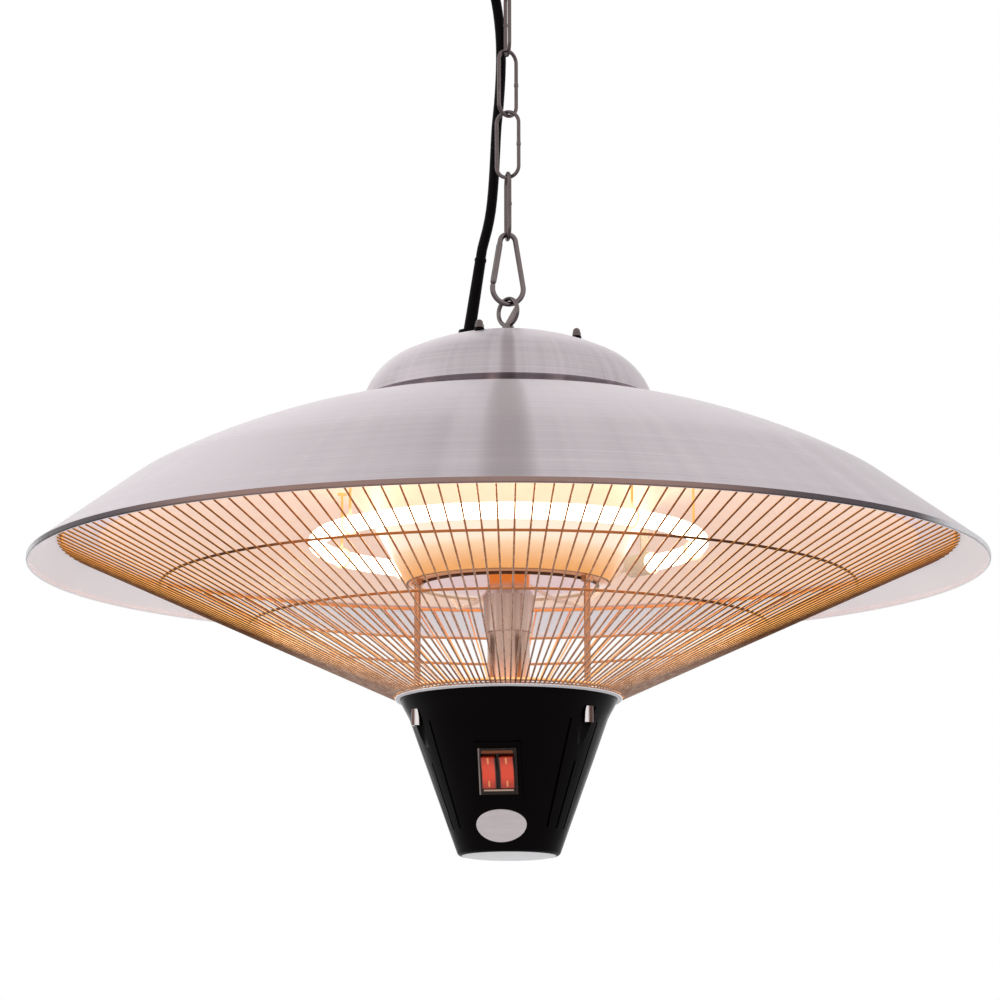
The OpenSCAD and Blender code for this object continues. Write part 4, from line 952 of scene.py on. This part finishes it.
# The emission is a faint painted glow.
sleeve.set(
    Base_Color=sleeve.mix(weave, colour(206, 184, 172), colour(232, 214, 204)),
    Emission_Color=colour(224, 196, 182), Emission_Strength=0.25)
sleeve.bump(weave, 0.0002, 0.5)

ceramic = Finish("ceramic", Roughness=0.5)
specks = ceramic.noise(500.0, 3.0)
ceramic.set(Base_Color=ceramic.mix(specks, colour(214, 206, 194), colour(236, 230, 220)))
ceramic.bump(specks, 0.00008, 0.3)
tell(gilt, sleeve, ceramic)

# %% [markdown]
# ## The stay ring
# A thin ring ties the rods together below the reflector. Its near half is seen against the
# light and looks dark, and its far half is lit from the front, so it is cream.

# %% Stay ring
dark = Finish("dark_wire", Metallic=0.8)
_, y, _ = dark.split()
soot = dark.noise(300.0, 3.0)
near_half = dark.mix(soot, colour(66, 44, 34), colour(104, 74, 58))
dark.set(
    Base_Color=dark.mix(y.rises(*FRONT_TO_BACK), near_half, colour(232, 214, 190)),
    Roughness=soot.spread(0.3, 0.5))
tell(dark)

# %% [markdown]
# ## Moulded black plastic
# The housing is moulded black plastic with a fine spark-eroded grain. A real mould gives the
# same grain everywhere, so an even, very fine noise drives its bump, and a slow one varies
# its gloss a little, as handling does.

# %% Housing
housing_black = Finish("housing_black", IOR=1.5, Specular_IOR_Level=0.055)
spark = housing_black.noise(1400.0, 2.0)
handled = housing_black.noise(22.0, 4.0)
housing_black.set(
    Base_Color=housing_black.mix(handled, colour(5, 2, 3), colour(9, 4, 5)),
    Roughness=handled.spread(0.22, 0.34))
housing_black.bump(spark, 0.00006, 0.5)
tell(housing_black)

# %% [markdown]
# ## The switch's frame
# The frame of the double switch is a shallow black tray. Light catches its left edge and the
# lip below the rockers, and the upper edge mirrors the red of the rockers. These lines are
# thinner than a millimetre, so they are painted by height rather than lit.

# %% Switch frame
SWITCH_TOP = RIM_Z - 0.1220
LIP_DROP, LIP_ENDS = 0.0255, (0.0088, 0.0094)         # below the top, and to either side
BROW_DROP, BROW_ENDS = 0.0030, (0.0092, 0.0100)
LEFT_EDGE = (0.0106, 0.0116)
switch_black = Finish("switch_black", IOR=1.5, Specular_IOR_Level=0.3)
x, _, z = switch_black.split()
drop = SWITCH_TOP - z
spark = switch_black.noise(1800.0, 2.0)
# Painted highlights on the lip and the left edge, and a painted red reflection on the brow.
lip = (drop - LIP_DROP).within(0.00022, 0.00063) * (1 - abs(x).rises(*LIP_ENDS))
brow = (drop - BROW_DROP).within(0.00045, 0.001) * (1 - abs(x).rises(*BROW_ENDS))
painted_left_highlight = (0 - x).rises(*LEFT_EDGE)
tray = switch_black.mix(spark, colour(34, 24, 20), colour(52, 40, 34))
edge = switch_black.mix(painted_left_highlight, tray, colour(168, 156, 150))
edge = switch_black.mix(brow, edge, colour(150, 84, 48))
switch_black.set(
    Base_Color=switch_black.mix(lip, edge, colour(226, 190, 166)),
    Roughness=spark.spread(0.24, 0.36))
switch_black.bump(spark, 0.00003, 0.4)
tell(switch_black)

# %% [markdown]
# ## The lit rockers
# The rockers are clear red plastic with a small lamp inside. Glass shading would need a lamp and
# many bounces, so the red is an emission that is strongest at half height, with a short painted
# highlight near each end and a dark border where the lens meets its frame.

# %% Rockers
SWITCH_Z, GLINT_X = RIM_Z - 0.1372, 0.0056            # the glint is in a rocker's middle
INNER_EDGE, OUTER_EDGE, END_EDGE = (0.0013, 0.0022), (0.0092, 0.0100), (0.0088, 0.0098)
GLINT_STARTS, GLINT_ENDS = (0.0042, 0.0054), (0.0078, 0.0088)
ruby = Finish("ruby_rocker", Roughness=0.16, Coat_Weight=0.7)
x, _, z = ruby.split()
side, down = abs(x), abs(z - SWITCH_Z)
lens_body = side.rises(*INNER_EDGE) * (1 - side.rises(*OUTER_EDGE))
lens_body = lens_body * (1 - down.rises(*END_EDGE))
core = (side - GLINT_X).within(0.00032, 0.00077)
# Painted highlight near each end of a rocker.
glint = core * down.rises(*GLINT_STARTS) * (1 - down.rises(*GLINT_ENDS))
heart = 1 - down.rises(0.002, 0.009)
lit_red = ruby.mix(heart, colour(150, 44, 22), colour(236, 74, 36))
lit_red = ruby.mix(glint * 0.8, lit_red, colour(255, 176, 110))
ruby.set(
    Base_Color=ruby.mix(lens_body, colour(40, 14, 9), colour(150, 32, 14)),
    Emission_Color=ruby.mix(lens_body, colour(30, 10, 6), lit_red),
    Emission_Strength=0.6)
tell(ruby)

# %% [markdown]
# ## Rubber, lens, plate and board
# The cord and its plug are matt black rubber, a little dusty. The lens under the housing is
# milky and glows a little. The oval plate is brushed sideways, so its noise is squeezed
# along z. The circuit board above the lens has tracks, which are a noise cut off sharply.

# %% Rubber, lens, plate and board
rubber = Finish("black_rubber", IOR=1.48, Specular_IOR_Level=0.06)
dust = rubber.noise(60.0, 4.0)
rubber.set(
    Base_Color=rubber.mix(dust, colour(5, 2, 3), colour(11, 6, 7)),
    Roughness=dust.spread(0.42, 0.58))
rubber.bump(rubber.noise(1500.0, 2.0), 0.00003, 0.4)

milk = Finish("milky_lens", Roughness=0.3)
milk.set(
    Base_Color=milk.mix(milk.noise(80.0), colour(226, 224, 224), colour(240, 238, 238)),
    Emission_Color=colour(240, 238, 240), Emission_Strength=0.12)

plate = Finish("badge_plate", Metallic=0.5)
lines = plate.noise(40.0, 3.0, (2, 1, 26))
plate.set(
    Base_Color=plate.mix(lines, colour(226, 213, 213), colour(246, 237, 237)),
    Roughness=lines.spread(0.30, 0.44))

board = Finish("circuit_board", Roughness=0.4)
tracks = board.noise(320.0, 1.0).rises(0.48, 0.52)
board.set(Base_Color=board.mix(tracks, colour(24, 74, 42), colour(52, 112, 66)))
tell(rubber, milk, plate, board)

# %% [markdown]
# ## Every part gets its finish
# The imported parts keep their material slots, so a finish is given by assigning to the slot.
# One table from finish to parts keeps the choice in one place, and a count shows whether
# a part was forgotten.

# %% The table of finishes
FINISHES = {
    shell: ["shade", "cap_dome"],
    wire: ["guard_wires", "guard_top_ring", "guard_bottom_ring"],
    hoop_steel: ["guard_upper_ring", "guard_lower_ring"],
    chrome: ["snap_hook_body", "snap_hook_gate", "eye_bolt", "plug_pins"],
    bead: ["base_plate"],
    nickel: ["sleeve_nuts"],
    rod_steel: ["support_rods", "rod_nuts"],
    gilt: ["lamp_clips"],
    zinc: CHAIN + ["ceiling_hook", "gate_pin", "eye_nut", "cap_spacers", "cap_bolts", "cap_nuts"],
    satin: ["column_tube", "column_collar"],
    mirror: ["reflector"],
    quartz: ["lamp_tube"],
    tungsten: ["lamp_filament"],
    ceramic: ["lamp_ends", "terminal_block"],
    sleeve: ["lamp_leads"],
    dark: ["stay_rings"],
    housing_black: ["control_housing", "cable_gland", "thermal_cutout"],
    switch_black: ["switch_frame"],
    ruby: ["rocker_left", "rocker_right"],
    plate: ["badge"],
    milk: ["light_lens"],
    board: ["led_board"],
    rubber: ["cap_washers", "inner_cable", "plug_body", "cord_tie", "power_cord", "cord_coil",
             "cord_boot"],
}
print("finishes:", len(FINISHES), "for", sum(len(names) for names in FINISHES.values()), "parts")

# %% Assign the finishes
for piece in (strain_relief, mains_cord):
    piece.data.materials.append(rubber.material)
finished = set()
for finish, names in FINISHES.items():
    for name in names:
        for piece in (nodes[name], smooth.get(name)):
            if piece is None:
                continue
            if not piece.data.materials:
                piece.data.materials.append(finish.material)
            for i in range(len(piece.data.materials)):
                piece.data.materials[i] = finish.material
        finished.add(name)
print("nodes without a finish:", sorted(set(nodes) - finished))

# %% [markdown]
# ## Two finishes on one sheet
# The shade is one sheet, but its two sides don't look alike: the outside is brushed and the
# inside has the plain satin of rolled sheet. It could be cut in two, but then it would no
# longer be one closed piece. Faces choose their material by an index instead, so the copy's
# faces are sorted by where they lie and which way they face.

# %% The shade's inside and hem, and the reflector's back
INSIDE, HEM = 1, 2             # material slots of the sheet; 0 is the first finish
HEM_FACES, INSIDE_FACES, BACK_FACES = 0.45, -0.05, 0.02    # how far a face points out or up
sheet = smooth["shade"].data
for finish in (inner, hem):
    sheet.materials.append(finish.material)
# Hem faces that point outwards take the painted dark tints; the other hem faces, and faces that
# point down, take the inside's finish.
for face in sheet.polygons:
    level = Vector((face.center.x, face.center.y, 0)).normalized()
    if face.center.z < RIM_Z:
        face.material_index = HEM if face.normal.dot(level) > HEM_FACES else INSIDE
    elif face.normal.z < INSIDE_FACES:
        face.material_index = INSIDE
# The reflector's back faces take the inside's finish, with its painted glow.
dish = smooth["reflector"].data
dish.materials.append(inner.material)
for face in dish.polygons:
    face.material_index = INSIDE if face.normal.z > BACK_FACES else 0
for name, skin in (("shade", sheet), ("reflector", dish)):
    count = sum(f.material_index == INSIDE for f in skin.polygons)
    print(name, "faces of the inside's finish:", count)
